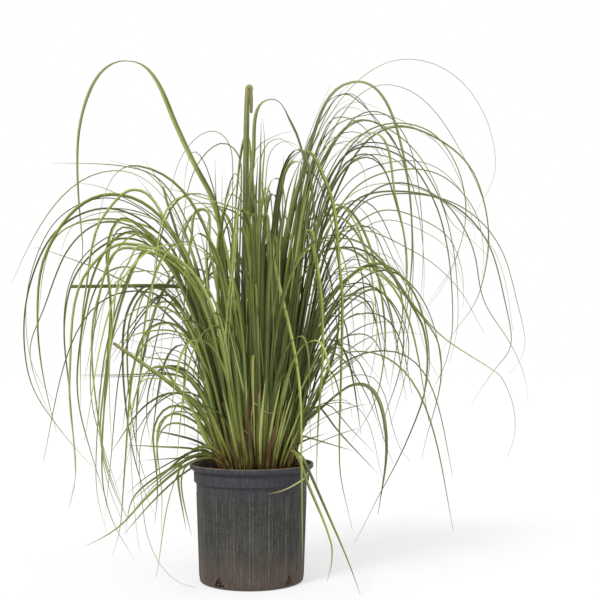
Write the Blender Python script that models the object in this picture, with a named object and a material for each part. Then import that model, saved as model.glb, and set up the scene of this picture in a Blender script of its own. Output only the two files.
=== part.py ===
# Potted pampas grass: a clump of arching leaves in a ribbed black nursery pot.
# Blender 4.5, metres, +Z up. The origin is the centre of the pot's underside.
# The front, towards the viewer, is -Y. Plain numbers in the tables are millimetres and degrees.

import math
import random
from collections import namedtuple

import bmesh
import bpy
from mathutils import Matrix, Vector

MM = 0.001
GAP = 0.35  # between pieces that touch

# Pot: a nursery container of about 8.5 litres.
POT_HEIGHT = 223.0
RIM_RADIUS = 117.5
BASE_RADIUS = 98.5
WALL_TOP_RADIUS = 105.0
WALL = 1.6
BAND_LOW = 188.0
BAND_TOP = 210.0
BAND_RADIUS = 109.5
RIB_COUNT = 18
RIB_HALF_ANGLE = 2.0
RIB_SLOPE_ANGLE = 0.7
RIB_PROUD = 0.9
RIB_LOW = 8.0
RIB_TOP = 172.0
RIB_FROM = 272.5  # heading of one rib
POT_FLOOR = 2.0

# Drain holes: triangles, point up, through the foot of the wall.
DRAIN_HEADINGS = (56, 136, 236, 316)
DRAIN_WIDTH = 20.0
DRAIN_HEIGHT = 19.0
DRAIN_LOW = 3.5
DRAIN_DEPTH = 14.0

# Soil: fills the pot to this height, level in the middle and lower at the wall.
SOIL_TOP = 205.5
SOIL_EDGE_DROP = 3.0
SOIL_LEVEL_RADIUS = 86.0
SOIL_PLAY = 0.6
SOIL_SEGMENTS = 36

# Crown: the ring of ground that the shoots and leaves stand on.
CROWN_X = 12.0
CROWN_Y = 0.0
FOOT_HEIGHT = SOIL_TOP + GAP

# Shoots: four stems side by side, each ending in its own blade.
STEM_COUNT = 4
STEM_WIDTH = 6.4
STEM_DEPTH = 5.6
BLADE_SPREAD = 10.0
BLADE_WIDTHS = (7.5, 10.0)
BLADE_ROLL = 35.0
BLADE_REACH = 0.55  # how far out the tips go past the arch, as a share of their fall
BLADE_TIP_LEAN = 168.0
RIDGE_SHARE = 0.3
SHOOT_SEED = 7

# Blades: a shallow three-sided section with its keel below.
KEEL_SHARE = 0.15
KEEL_LEAST = 0.5
FOOT_SHARE = 0.72
WIDEST_AT = 0.3
TIP_SHARE = 0.07
TURN_PER_STEP = 26.0

COLOURS = {
    "pot_plastic": ((0.055, 0.056, 0.060), 0.62),
    "soil": ((0.060, 0.040, 0.026), 0.95),
    "leaf_green": ((0.165, 0.245, 0.050), 0.55),
    "leaf_dark": ((0.075, 0.125, 0.030), 0.55),
    "leaf_pale": ((0.300, 0.360, 0.110), 0.60),
    "shoot_green": ((0.190, 0.250, 0.055), 0.55),
}

# heading: the way a leaf leans, 0 towards +X, 90 away from the viewer, 270 towards them
# foot, at: distance and direction of its foot from the crown's axis
# lean: degrees from upright at the foot
# knots: (out, up, lean) along the leaf, out from the crown's axis, up from the floor
# roll: turn of the blade about its own line; sweep: change of heading along it
# left: the share of the leaf that is left, less than one where its tip broke off
Leaf = namedtuple("Leaf", "heading foot at lean width knots roll sweep left tint",
                  defaults=(55, 0, 1.0, "leaf_green"))

LEAVES = (
    # left side
    Leaf(177, 20, 168, 2, 11, ((65, 608, 5), (80, 705, 14), (118, 784, 28), (158, 868, 24),
         (255, 993, 90), (343, 880, 168), (349, 770, 182), (338, 640, 186), (345, 572, 175)), 70),
    Leaf(165, 37, 164, 8, 8, ((150, 660, 22), (302, 792, 91), (524, 572, 155)), 40),
    Leaf(182, 34, 190, 6, 9, ((130, 600, 22), (278, 731, 92), (396, 627, 155), (415, 500, 180),
         (379, 284, 196))),
    Leaf(202, 48, 211, 10, 11, ((250, 622, 88), (306, 527, 163), (317, 447, 180), (300, 276, 188),
         (255, 137, 203)), 35, tint="leaf_pale"),
    Leaf(190, 42, 196, 7, 9, ((165, 661, 33), (231, 735, 90), (281, 696, 140), (321, 548, 170),
         (330, 332, 181)), 35, tint="leaf_pale"),
    Leaf(196, 47, 203, 9, 9, ((250, 632, 90), (312, 590, 140), (349, 440, 178), (351, 350, 182),
         (340, 220, 180), (352, 153, 170)), 45, tint="leaf_pale"),
    Leaf(209, 46, 223, 9, 10, ((238, 622, 88), (264, 588, 140), (291, 472, 172), (293, 269, 182)), 30,
         tint="leaf_pale"),
    Leaf(186, 47, 180, 10, 9, ((115, 505, 22), (150, 557, 88), (351, 556, 90)), 60, 0, 0.6, "leaf_dark"),
    Leaf(191, 67, 186, 14, 7, ((139, 474, 48), (232, 553, 58), (413, 627, 72)), 60, tint="leaf_dark"),
    Leaf(215, 67, 222, 22, 8, ((215, 408, 92), (262, 349, 165), (270, 270, 181), (254, 87, 190))),
    Leaf(198, 67, 196, 20, 9, ((131, 344, 48), (273, 450, 55)), 70, 0, 0.7),
    Leaf(183, 68, 181, 30, 8, ((108, 247, 90), (188, 193, 128), (240, 150, 130)), 30, tint="leaf_dark"),
    Leaf(203, 69, 205, 30, 8, ((112, 241, 88), (187, 203, 122), (240, 153, 132)), 30, tint="leaf_dark"),
    Leaf(218, 69, 229, 24, 9, ((135, 262, 88), (183, 222, 150), (229, 39, 172)), 50),
    Leaf(206, 68, 214, 30, 6, ((168, 360, 88), (238, 280, 165), (240, 147, 183), (146, 9, 258)), 40, 15),
    Leaf(162, 33, 152, 7, 8, ((152, 608, 20), (176, 683, 17), (199, 757, 12)), 75, 0, 0.6, "leaf_dark"),
    Leaf(174, 21, 140, 3, 9, ((96, 640, 8), (112, 708, 90), (132, 650, 170), (150, 446, 176)), 25,
         tint="leaf_pale"),
    # right side
    Leaf(4, 22, 16, 2, 7, ((150, 905, 35), (296, 998, 92), (462, 806, 176), (412, 692, 216)), 35),
    Leaf(355, 22, 3, 2, 12, ((98, 819, 18), (178, 943, 80), (270, 828, 166), (292, 623, 181),
         (284, 530, 187), (269, 380, 184)), 65),
    Leaf(344, 30, 336, 3, 8, ((90, 770, 19), (172, 912, 88), (242, 843, 132), (280, 775, 158)), 50,
         tint="leaf_dark"),
    Leaf(339, 38, 329, 4, 10, ((140, 755, 28), (222, 833, 90), (272, 717, 167), (294, 604, 178),
         (288, 460, 184)), 45),
    Leaf(18, 28, 28, 4, 7, ((150, 860, 30), (273, 965, 90), (449, 809, 150), (491, 694, 177),
         (472, 558, 197)), 40),
    Leaf(9, 40, 12, 5, 8, ((145, 780, 35), (281, 874, 90), (385, 799, 152), (412, 721, 176),
         (397, 633, 195), (332, 518, 222)), 45, tint="leaf_dark"),
    Leaf(0, 46, 4, 6, 8, ((100, 600, 14), (242, 755, 88), (423, 663, 135), (485, 474, 172)), 45),
    Leaf(347, 48, 340, 8, 7, ((185, 660, 88), (307, 612, 118), (372, 557, 138), (424, 468, 150)), 40,
         tint="leaf_dark"),
    Leaf(351, 50, 349, 16, 9, ((140, 690, 90), (228, 590, 140), (297, 518, 140), (356, 455, 127),
         (446, 396, 125), (468, 360, 155), (480, 300, 178), (466, 240, 200)), 45),
    Leaf(331, 48, 322, 10, 7, ((175, 640, 88), (346, 486, 138), (370, 446, 166), (375, 403, 180),
         (352, 300, 196), (340, 251, 188)), 45, tint="leaf_dark"),
    Leaf(335, 62, 330, 15, 7, ((180, 625, 90), (323, 494, 148), (338, 440, 172), (337, 385, 184),
         (308, 292, 203), (253, 185, 210), (200, 88, 212)), 40, tint="leaf_dark"),
    Leaf(325, 66, 325, 24, 10, ((104, 300, 50), (147, 333, 52), (196, 368, 60), (225, 377, 88),
         (283, 284, 176), (262, 148, 190)), 55, tint="leaf_dark"),
    Leaf(312, 47, 306, 8, 9, ((122, 591, 8), (148, 652, 88), (166, 610, 166), (181, 543, 171),
         (188, 455, 178), (175, 313, 186), (167, 197, 181)), 45),
    Leaf(318, 30, 318, 2, 11, ((50, 718, 10), (112, 802, 88), (168, 741, 150), (198, 606, 175),
         (207, 520, 180), (203, 300, 181), (204, 240, 178), (235, 124, 165)), 40, tint="leaf_pale"),
    Leaf(351, 14, 204, 0, 10, ((-8, 800, 6), (28, 912, 90), (65, 866, 150), (100, 752, 165),
         (116, 600, 176)), 30),
    Leaf(325, 69, 318, 20, 6, ((92, 249, 90), (125, 214, 150), (235, 6, 152)), 40, tint="leaf_dark"),
    Leaf(311, 69, 309, 20, 6, ((98, 254, 90), (140, 206, 150), (211, 101, 155), (213, 71, 185),
         (198, 32, 205)), 40),
    Leaf(299, 22, 304, 0, 7, ((25, 600, 3), (42, 640, 90), (62, 595, 156), (150, 410, 160),
         (169, 310, 177), (177, 70, 181)), 40, tint="leaf_pale"),
    # middle: the erect leaf that broke off square
    Leaf(0, 31, 183, 0, 13, ((-24, 650, 1), (-20, 936, 2)), 90, 0, 0.72),
    # back
    Leaf(60, 18, 62, 4, 9, ((60, 620, 12), (160, 820, 90), (340, 540, 166))),
    Leaf(82, 46, 80, 8, 8, ((190, 760, 90), (340, 560, 160), (372, 280, 180)), 40, tint="leaf_dark"),
    Leaf(100, 24, 104, 3, 9, ((70, 700, 12), (180, 880, 90), (400, 600, 158))),
    Leaf(118, 47, 114, 17, 8, ((200, 600, 88), (370, 440, 166), (385, 240, 182)), 40),
    Leaf(140, 47, 140, 12, 9, ((180, 600, 88), (330, 400, 164), (350, 190, 180)), 40, tint="leaf_dark"),
    # front, where few leaves hang
    Leaf(258, 46, 254, 15, 9, ((110, 690, 86), (190, 560, 155), (225, 430, 168)), 35),
    Leaf(274, 20, 270, 2, 10, ((52, 700, 12), (92, 850, 30)), 30),
    Leaf(241, 51, 240, 26, 8, ((140, 480, 86), (230, 410, 156), (262, 250, 172)), 40, tint="leaf_pale"),
    Leaf(269, 52, 268, 27, 8, ((106, 430, 88), (160, 345, 160), (173, 268, 174)), 35),
)

# foot: distance from the crown's axis; headings: one for each shoot; lean: of the stems
# stem: height of the stems; out, up: where the blades' arches are highest
# fall: how far the tips hang below the arches
Ring = namedtuple("Ring", "foot headings lean stem out up fall")

RINGS = (
    Ring(58, (22, 68, 113, 156, 204), 17, (90, 130), (180, 290), (430, 640), (120, 330)),
    Ring(58, (248, 284), 17, (90, 130), (180, 290), (430, 640), (70, 150)),
    Ring(58, (346,), 17, (90, 130), (180, 290), (430, 640), (120, 330)),
    Ring(32, (50, 126, 230, 281), 8, (140, 190), (150, 290), (600, 790), (150, 350)),
    Ring(9, (90,), 0, (190, 210), (90, 150), (720, 800), (120, 200)),
)


def clear_scene():
    for item in list(bpy.data.objects):
        bpy.data.objects.remove(item, do_unlink=True)


def make_collection(name):
    group = bpy.data.collections.new(name)
    bpy.context.scene.collection.children.link(group)
    return group


def make_material(name):
    colour, roughness = COLOURS[name]
    material = bpy.data.materials.new(name)
    material.use_nodes = True
    shader = material.node_tree.nodes["Principled BSDF"]
    shader.inputs["Base Color"].default_value = (*colour, 1.0)
    shader.inputs["Roughness"].default_value = roughness
    shader.inputs["Metallic"].default_value = 0.0
    material.diffuse_color = (*colour, 1.0)
    return material


def add_object(name, bm, material, group):
    mesh = bpy.data.meshes.new(name)
    bm.to_mesh(mesh)
    bm.free()
    part = bpy.data.objects.new(name, mesh)
    mesh.materials.append(material)
    group.objects.link(part)
    return part


def turn(degrees):
    angle = math.radians(degrees)
    return Vector((math.cos(angle), math.sin(angle), 0.0))


def soften(part):
    part.data.shade_smooth()
    part.data.set_sharp_from_angle(angle=math.radians(40))


# Pot

def pot_profile():
    # Radius and height from the middle of the underside, up the outside and down the inside.
    inner_step = BAND_LOW - WALL
    return (
        (0.0, 0.0),
        (BASE_RADIUS - 4.5, 0.0),
        (BASE_RADIUS, 4.5),
        (wall_radius(RIB_LOW), RIB_LOW),
        (wall_radius(RIB_TOP), RIB_TOP),
        (WALL_TOP_RADIUS, BAND_LOW),
        (BAND_RADIUS, BAND_LOW + 1.5),
        (BAND_RADIUS + 1.2, BAND_TOP),
        (BAND_RADIUS + 3.6, BAND_TOP + 1.6),
        (RIM_RADIUS, BAND_TOP + 4.5),
        (RIM_RADIUS, POT_HEIGHT - 1.6),
        (RIM_RADIUS - 1.6, POT_HEIGHT),
        (RIM_RADIUS - 3.6, POT_HEIGHT - 1.2),
        (BAND_RADIUS - WALL + 1.2, BAND_TOP + 1.0),
        (BAND_RADIUS - WALL, inner_step + 2.5),
        (WALL_TOP_RADIUS - WALL, inner_step),
        (BASE_RADIUS - WALL, 6.0),
        (BASE_RADIUS - 5.0, POT_FLOOR),
        (0.0, POT_FLOOR),
    )


def wall_radius(height):
    share = height / BAND_LOW
    return BASE_RADIUS + (WALL_TOP_RADIUS - BASE_RADIUS) * share


def rib_angles():
    # Four angles for each rib: its two flat edges and the feet of its two slopes.
    pitch = 360.0 / RIB_COUNT
    foot = RIB_HALF_ANGLE + RIB_SLOPE_ANGLE
    angles = []
    for index in range(RIB_COUNT):
        middle = RIB_FROM + index * pitch
        angles.append((middle - foot, False))
        angles.append((middle - RIB_HALF_ANGLE, True))
        angles.append((middle + RIB_HALF_ANGLE, True))
        angles.append((middle + foot, False))
    return angles


def make_pot(material, group, helpers):
    profile = pot_profile()
    angles = rib_angles()
    bm = bmesh.new()
    columns = []
    axis_low = bm.verts.new((0.0, 0.0, profile[0][1] * MM))
    axis_top = bm.verts.new((0.0, 0.0, profile[-1][1] * MM))
    for angle, on_rib in angles:
        column = [axis_low]
        for radius, height in profile[1:-1]:
            outer = height in (RIB_LOW, RIB_TOP)
            proud = RIB_PROUD if on_rib and outer else 0.0
            column.append(bm.verts.new((turn(angle) * (radius + proud) + Vector((0, 0, height))) * MM))
        column.append(axis_top)
        columns.append(column)
    for index, column in enumerate(columns):
        following = columns[(index + 1) % len(columns)]
        for step in range(len(profile) - 1):
            corners = (column[step], following[step], following[step + 1], column[step + 1])
            bm.faces.new(list(dict.fromkeys(corners)))
    bmesh.ops.recalc_face_normals(bm, faces=bm.faces)
    bmesh.ops.triangulate(bm, faces=bm.faces)
    pot = add_object("nursery_pot", bm, material, group)
    for index, heading in enumerate(DRAIN_HEADINGS):
        cutter = make_drain_cutter(index, heading, helpers)
        cut = pot.modifiers.new("drain_%d" % index, "BOOLEAN")
        cut.operation = "DIFFERENCE"
        cut.solver = "EXACT"
        cut.object = cutter
    soften(pot)
    return pot


def make_drain_cutter(index, heading, helpers):
    # A three-sided bar, point up. A triangle is 1.5 times as high as the radius round it.
    radius = DRAIN_HEIGHT / 1.5
    widen = DRAIN_WIDTH / (radius * math.sqrt(3.0))
    middle = Vector((0.0, -BASE_RADIUS, DRAIN_LOW + radius / 2.0))
    place = Matrix.Scale(MM, 4) @ Matrix.Rotation(math.radians(heading + 90), 4, "Z")
    place = place @ Matrix.Translation(middle) @ Matrix.Diagonal((widen, 1.0, 1.0, 1.0))
    place = place @ Matrix.Rotation(math.radians(90), 4, "X")
    bm = bmesh.new()
    bmesh.ops.create_cone(bm, cap_ends=True, segments=3, radius1=radius, radius2=radius,
                          depth=DRAIN_DEPTH)
    bmesh.ops.transform(bm, matrix=place, verts=bm.verts)
    mesh = bpy.data.meshes.new("drain_cutter_%d" % index)
    bm.to_mesh(mesh)
    bm.free()
    cutter = bpy.data.objects.new(mesh.name, mesh)
    cutter.hide_render = True
    cutter.display_type = "WIRE"
    helpers.objects.link(cutter)
    return cutter


def make_soil(material, group):
    # A turned block that keeps clear of the pot's flat inner panels.
    panel_half = 180.0 / RIB_COUNT - RIB_HALF_ANGLE - RIB_SLOPE_ANGLE
    fit = math.cos(math.radians(panel_half))
    low = POT_FLOOR + GAP
    foot = (BASE_RADIUS - WALL - SOIL_PLAY) * fit
    side = (WALL_TOP_RADIUS - WALL - SOIL_PLAY) * fit
    profile = (
        (0.0, low),
        (foot - 4.0, low),
        (foot, low + 4.0),
        (side, BAND_LOW - WALL - 3.0),
        (side, SOIL_TOP - SOIL_EDGE_DROP),
        (SOIL_LEVEL_RADIUS, SOIL_TOP),
        (0.0, SOIL_TOP),
    )
    bm = bmesh.new()
    verts = [bm.verts.new((radius * MM, 0.0, height * MM)) for radius, height in profile]
    edges = [bm.edges.new(pair) for pair in zip(verts, verts[1:])]
    bmesh.ops.spin(bm, geom=verts + edges, cent=(0, 0, 0), axis=(0, 0, 1), angle=math.tau,
                   steps=SOIL_SEGMENTS, use_merge=True)
    bmesh.ops.remove_doubles(bm, verts=bm.verts, dist=0.01 * MM)
    bmesh.ops.recalc_face_normals(bm, faces=bm.faces)
    soil = add_object("potting_soil", bm, material, group)
    soften(soil)
    return soil


# Leaves

def arc_handle(chord, bend):
    # Handle length that makes a cubic follow a round arc through this bend.
    if abs(bend) < 0.01:
        return chord / 3.0
    return chord * 2.0 / 3.0 * math.tan(bend / 4.0) / math.sin(bend / 2.0)


def curve_points(start, end, steps):
    # start and end are (out, up, lean); returns points after the start, up to the end.
    here = Vector(start[:2])
    there = Vector(end[:2])
    lean_here = math.radians(start[2])
    lean_there = math.radians(end[2])
    handle = arc_handle((there - here).length, lean_there - lean_here)
    first = here + Vector((math.sin(lean_here), math.cos(lean_here))) * handle
    second = there - Vector((math.sin(lean_there), math.cos(lean_there))) * handle
    points = []
    for step in range(1, steps + 1):
        t = step / steps
        s = 1.0 - t
        points.append(here * s ** 3 + first * 3 * s * s * t + second * 3 * s * t * t + there * t ** 3)
    return points


def profile_points(start, knots):
    points = [Vector(start[:2])]
    for knot in knots:
        steps = max(2, math.ceil(abs(knot[2] - start[2]) / TURN_PER_STEP))
        points.extend(curve_points(start, knot, steps))
        start = knot
    return points


def stations(points, plane_from, heading, sweep, roll_from, roll_to):
    # Turns (out, up) points into places and frames in space, with how far along each one is.
    lengths = [0.0]
    for here, there in zip(points, points[1:]):
        lengths.append(lengths[-1] + (there - here).length)
    spots = []
    for point, length in zip(points, lengths):
        t = length / lengths[-1]
        ahead = turn(heading + sweep * t * t)
        spots.append((t, plane_from + ahead * point.x + Vector((0, 0, point.y)), ahead))
    result = []
    for index, (t, place, ahead) in enumerate(spots):
        before = spots[max(index - 1, 0)][1]
        after = spots[min(index + 1, len(spots) - 1)][1]
        along = (after - before).normalized()
        across = Vector((-ahead.y, ahead.x, 0.0))
        across = (across - along * across.dot(along)).normalized()
        angle = math.radians(roll_from + (roll_to - roll_from) * t)
        across = Matrix.Rotation(angle, 3, along) @ across
        result.append((t, place, across, along.cross(across)))
    return result


def blade_width(t):
    # Share of the full width: a narrow foot, the widest third, then a long taper.
    rise = FOOT_SHARE + (1.0 - FOOT_SHARE) * math.sin(min(t / WIDEST_AT, 1.0) * math.pi / 2.0)
    return max(rise * max(1.0 - t ** 3, 0.0) ** 0.8, TIP_SHARE)


def leaf_section(place, across, normal, width):
    keel = width * KEEL_SHARE + KEEL_LEAST
    return (
        (place - across * width / 2.0) * MM,
        (place + across * width / 2.0) * MM,
        (place - normal * keel) * MM,
    )


def extend(bm, face, corners):
    # Grows a face into its next section and returns the new end face.
    grown = bmesh.ops.extrude_discrete_faces(bm, faces=[face])["faces"][0]
    for loop, corner in zip(grown.loops, corners):
        loop.vert.co = corner
    return grown


def make_leaf(name, leaf, material, group):
    side = leaf.at - leaf.heading
    foot_out = leaf.foot * math.cos(math.radians(side))
    foot_side = leaf.foot * math.sin(math.radians(side))
    points = profile_points((foot_out, FOOT_HEIGHT, leaf.lean), leaf.knots)
    crown = Vector((CROWN_X, CROWN_Y, 0.0)) + turn(leaf.heading + 90) * foot_side
    line = stations(points, crown, leaf.heading, leaf.sweep, leaf.roll, leaf.roll * 0.3)
    bm = bmesh.new()
    sections = []
    for t, place, across, normal in line:
        width = leaf.width * blade_width(t * leaf.left)
        sections.append(leaf_section(place, across, normal, width))
    lift_foot(sections[0])
    foot = bm.faces.new([bm.verts.new(corner) for corner in sections[0]])
    foot.copy()
    end = foot
    for corners in sections[1:]:
        end = extend(bm, end, corners)
    bmesh.ops.remove_doubles(bm, verts=bm.verts, dist=0.001 * MM)
    bmesh.ops.recalc_face_normals(bm, faces=bm.faces)
    part = add_object(name, bm, material, group)
    soften(part)
    return part


def lift_foot(corners):
    # The foot is cut level with the soil, whatever the lean.
    for corner in corners:
        corner.z = FOOT_HEIGHT * MM


# Shoots

def make_shoot(name, heading, ring, dice, material, group):
    ahead = turn(heading)
    across = Vector((-ahead.y, ahead.x, 0.0))
    lean = math.radians(ring.lean)
    up = ahead * math.sin(lean) + Vector((0, 0, math.cos(lean)))
    foot = Vector((CROWN_X, CROWN_Y, FOOT_HEIGHT)) + ahead * ring.foot
    half_height = dice.uniform(*ring.stem) / 2.0
    bm = bmesh.new()
    grid = bmesh.ops.create_grid(bm, x_segments=STEM_COUNT, y_segments=1, size=0.5)
    for vert in grid["verts"]:
        wide = across * vert.co.x * STEM_COUNT * STEM_WIDTH
        deep = ahead * vert.co.y * STEM_DEPTH
        vert.co = (foot + wide + deep) * MM
    ground = list(bm.faces)
    middle = raise_row(bm, ground, up * half_height)
    ends = raise_row(bm, middle, up * half_height)
    bmesh.ops.delete(bm, geom=middle, context="FACES")
    ends.sort(key=lambda face: face.calc_center_median().dot(across))
    for index, face in enumerate(ends):
        offset = index - (STEM_COUNT - 1) / 2.0
        grow_blade(bm, face, heading + offset * BLADE_SPREAD, ring, dice, across, ahead)
    bmesh.ops.recalc_face_normals(bm, faces=bm.faces)
    part = add_object(name, bm, material, group)
    soften(part)
    return part


def raise_row(bm, faces, step):
    # Extrudes a row of stem sections and returns the new row.
    grown = bmesh.ops.extrude_face_region(bm, geom=faces, use_keep_orig=True)["geom"]
    corners = [item for item in grown if isinstance(item, bmesh.types.BMVert)]
    bmesh.ops.translate(bm, verts=corners, vec=step * MM)
    return [item for item in grown if isinstance(item, bmesh.types.BMFace)]


def grow_blade(bm, face, heading, ring, dice, across, outward):
    # Which side of the stem each corner of its end is on, in the order of the face.
    middle = face.calc_center_median()
    sides = []
    for loop in face.loops:
        away = loop.vert.co - middle
        sides.append((math.copysign(1.0, away.dot(across)), away.dot(outward) > 0.0))
    crown = Vector((CROWN_X, CROWN_Y, 0.0))
    start = middle / MM - crown
    ahead = turn(heading)
    beside = Vector((-ahead.y, ahead.x, 0.0))
    out = dice.uniform(*ring.out)
    up = dice.uniform(*ring.up)
    fall = dice.uniform(*ring.fall)
    knots = ((out, up, 90.0), (out + fall * BLADE_REACH, up - fall, BLADE_TIP_LEAN))
    points = profile_points((start.dot(ahead), start.z, ring.lean), knots)
    plane = crown + beside * start.dot(beside)
    roll = dice.choice((-BLADE_ROLL, BLADE_ROLL))
    line = stations(points, plane, heading, 0.0, 0.0, roll)
    width = dice.uniform(*BLADE_WIDTHS)
    for t, place, lie, rise in line[1:]:
        broad = width * blade_width(WIDEST_AT + (1.0 - WIDEST_AT) * t)
        keel = broad * KEEL_SHARE + KEEL_LEAST
        corners = []
        for side, outer in sides:
            share = RIDGE_SHARE if outer else 1.0
            drop = keel if outer else 0.0
            corners.append((place + lie * side * share * broad / 2.0 - rise * drop) * MM)
        face = extend(bm, face, corners)


def build():
    clear_scene()
    group = make_collection("potted_pampas_grass")
    helpers = make_collection("cutters")
    materials = {name: make_material(name) for name in COLOURS}
    make_pot(materials["pot_plastic"], group, helpers)
    make_soil(materials["soil"], group)
    for index, leaf in enumerate(LEAVES, 1):
        make_leaf("leaf_%02d" % index, leaf, materials[leaf.tint], group)
    dice = random.Random(SHOOT_SEED)
    count = 0
    for ring in RINGS:
        for heading in ring.headings:
            count += 1
            make_shoot("shoot_%02d" % count, heading, ring, dice, materials["shoot_green"], group)


build()
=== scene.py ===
# Potted pampas grass: the looks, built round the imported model.
# Lengths in the settings are millimetres and angles are degrees, as in the model's own source.
# The front is -Y. The pot's axis is the Z axis, and it stands on z = 0.

import math
import random
from collections import namedtuple

import bmesh
import bpy
from mathutils import Matrix, Vector, noise


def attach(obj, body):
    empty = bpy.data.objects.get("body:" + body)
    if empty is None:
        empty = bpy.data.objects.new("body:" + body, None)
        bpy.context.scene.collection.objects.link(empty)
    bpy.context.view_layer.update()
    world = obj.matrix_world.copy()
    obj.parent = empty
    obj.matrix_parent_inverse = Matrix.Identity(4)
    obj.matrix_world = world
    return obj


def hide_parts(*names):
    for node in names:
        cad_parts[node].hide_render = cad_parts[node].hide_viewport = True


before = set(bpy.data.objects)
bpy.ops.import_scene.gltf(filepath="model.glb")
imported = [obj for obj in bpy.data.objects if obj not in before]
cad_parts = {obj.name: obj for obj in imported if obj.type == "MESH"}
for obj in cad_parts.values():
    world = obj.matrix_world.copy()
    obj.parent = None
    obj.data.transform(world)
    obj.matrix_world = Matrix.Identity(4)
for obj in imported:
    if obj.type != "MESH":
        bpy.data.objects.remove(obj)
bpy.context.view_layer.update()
mm = 0.001
scene = bpy.context.scene

cameraSettings = {
    "place": (0.092, -1.94, 0.448),
    "focalPixels": 1019.0,
    "frameSize": 600.0,
    "horizonRow": 344.0,
}

lightSettings = {
    "worldStrength": 1.0,
    "keyFrom": (-0.75, -1.0, 1.35),
    "keyPower": 2.6,
    "keySoftness": 14.0,
    "fillPlace": (1.8, -1.2, 1.4),
    "fillSize": 2.0,
    "fillPower": 10.0,
}

crown = {"x": 12.0, "y": 0.0, "soilTop": 205.5}


# Helpers

def turn(degrees):
    angle = math.radians(degrees)
    return Vector((math.cos(angle), math.sin(angle), 0.0))


def mix(low, high, share):
    return low + (high - low) * share


def smooth(low, high, value):
    # From 0 at low to 1 at high; low may be the larger of the two.
    share = min(max((value - low) / (high - low), 0.0), 1.0)
    return share * share * (3.0 - 2.0 * share)


def finishPiece(name, bm, materials, nodes=()):
    mesh = bpy.data.meshes.new(name)
    bm.to_mesh(mesh)
    bm.free()
    for material in materials:
        mesh.materials.append(material)
    mesh.shade_smooth()
    piece = bpy.data.objects.new(name, mesh)
    scene.collection.objects.link(piece)
    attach(piece, "root")
    if nodes:
        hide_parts(*nodes)
    return piece


# Camera, light and floor

def makeCamera():
    data = bpy.data.cameras.new("camera")
    size = cameraSettings["frameSize"]
    data.sensor_width = 36.0
    data.lens = 36.0 * cameraSettings["focalPixels"] / size
    data.shift_y = (cameraSettings["horizonRow"] - size / 2.0) / size
    data.clip_end = 50.0
    camera = bpy.data.objects.new("camera", data)
    camera.location = cameraSettings["place"]
    camera.rotation_euler = (math.radians(90.0), 0.0, 0.0)
    scene.collection.objects.link(camera)
    scene.camera = camera


def makeAreaLight(name, place, size, power):
    data = bpy.data.lights.new(name, "AREA")
    data.size = size
    data.energy = power
    light = bpy.data.objects.new(name, data)
    light.location = place
    aim = Vector((0.0, 0.0, 0.45)) - Vector(place)
    light.rotation_euler = aim.to_track_quat("-Z", "Y").to_euler()
    scene.collection.objects.link(light)


def makeKeyLight():
    data = bpy.data.lights.new("keyLight", "SUN")
    data.energy = lightSettings["keyPower"]
    data.angle = math.radians(lightSettings["keySoftness"])
    light = bpy.data.objects.new("keyLight", data)
    light.rotation_euler = Vector(lightSettings["keyFrom"]).to_track_quat("Z", "Y").to_euler()
    scene.collection.objects.link(light)


def makeStudio():
    world = bpy.data.worlds.new("studio")
    world.use_nodes = True
    background = world.node_tree.nodes["Background"]
    background.inputs["Color"].default_value = (1.0, 1.0, 1.0, 1.0)
    background.inputs["Strength"].default_value = lightSettings["worldStrength"]
    scene.world = world
    scene.view_settings.view_transform = "Standard"
    makeKeyLight()
    makeAreaLight("fillLight", lightSettings["fillPlace"], lightSettings["fillSize"],
                  lightSettings["fillPower"])
    bm = bmesh.new()
    bmesh.ops.create_grid(bm, x_segments=1, y_segments=1, size=12.0)
    mesh = bpy.data.meshes.new("floor")
    bm.to_mesh(mesh)
    bm.free()
    floor = bpy.data.objects.new("floor", mesh)
    floor.location.z = -0.0005
    scene.collection.objects.link(floor)
    material = bpy.data.materials.new("paleFloor")
    material.use_nodes = True
    shader = material.node_tree.nodes["Principled BSDF"]
    shader.inputs["Base Color"].default_value = (0.26, 0.26, 0.26, 1.0)
    shader.inputs["Roughness"].default_value = 0.9
    shader.inputs["Specular IOR Level"].default_value = 0.0
    shader.inputs["Emission Color"].default_value = (1.0, 1.0, 1.0, 1.0)
    shader.inputs["Emission Strength"].default_value = 0.60   # a light table, so the floor stays white
    mesh.materials.append(material)


# Materials

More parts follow.
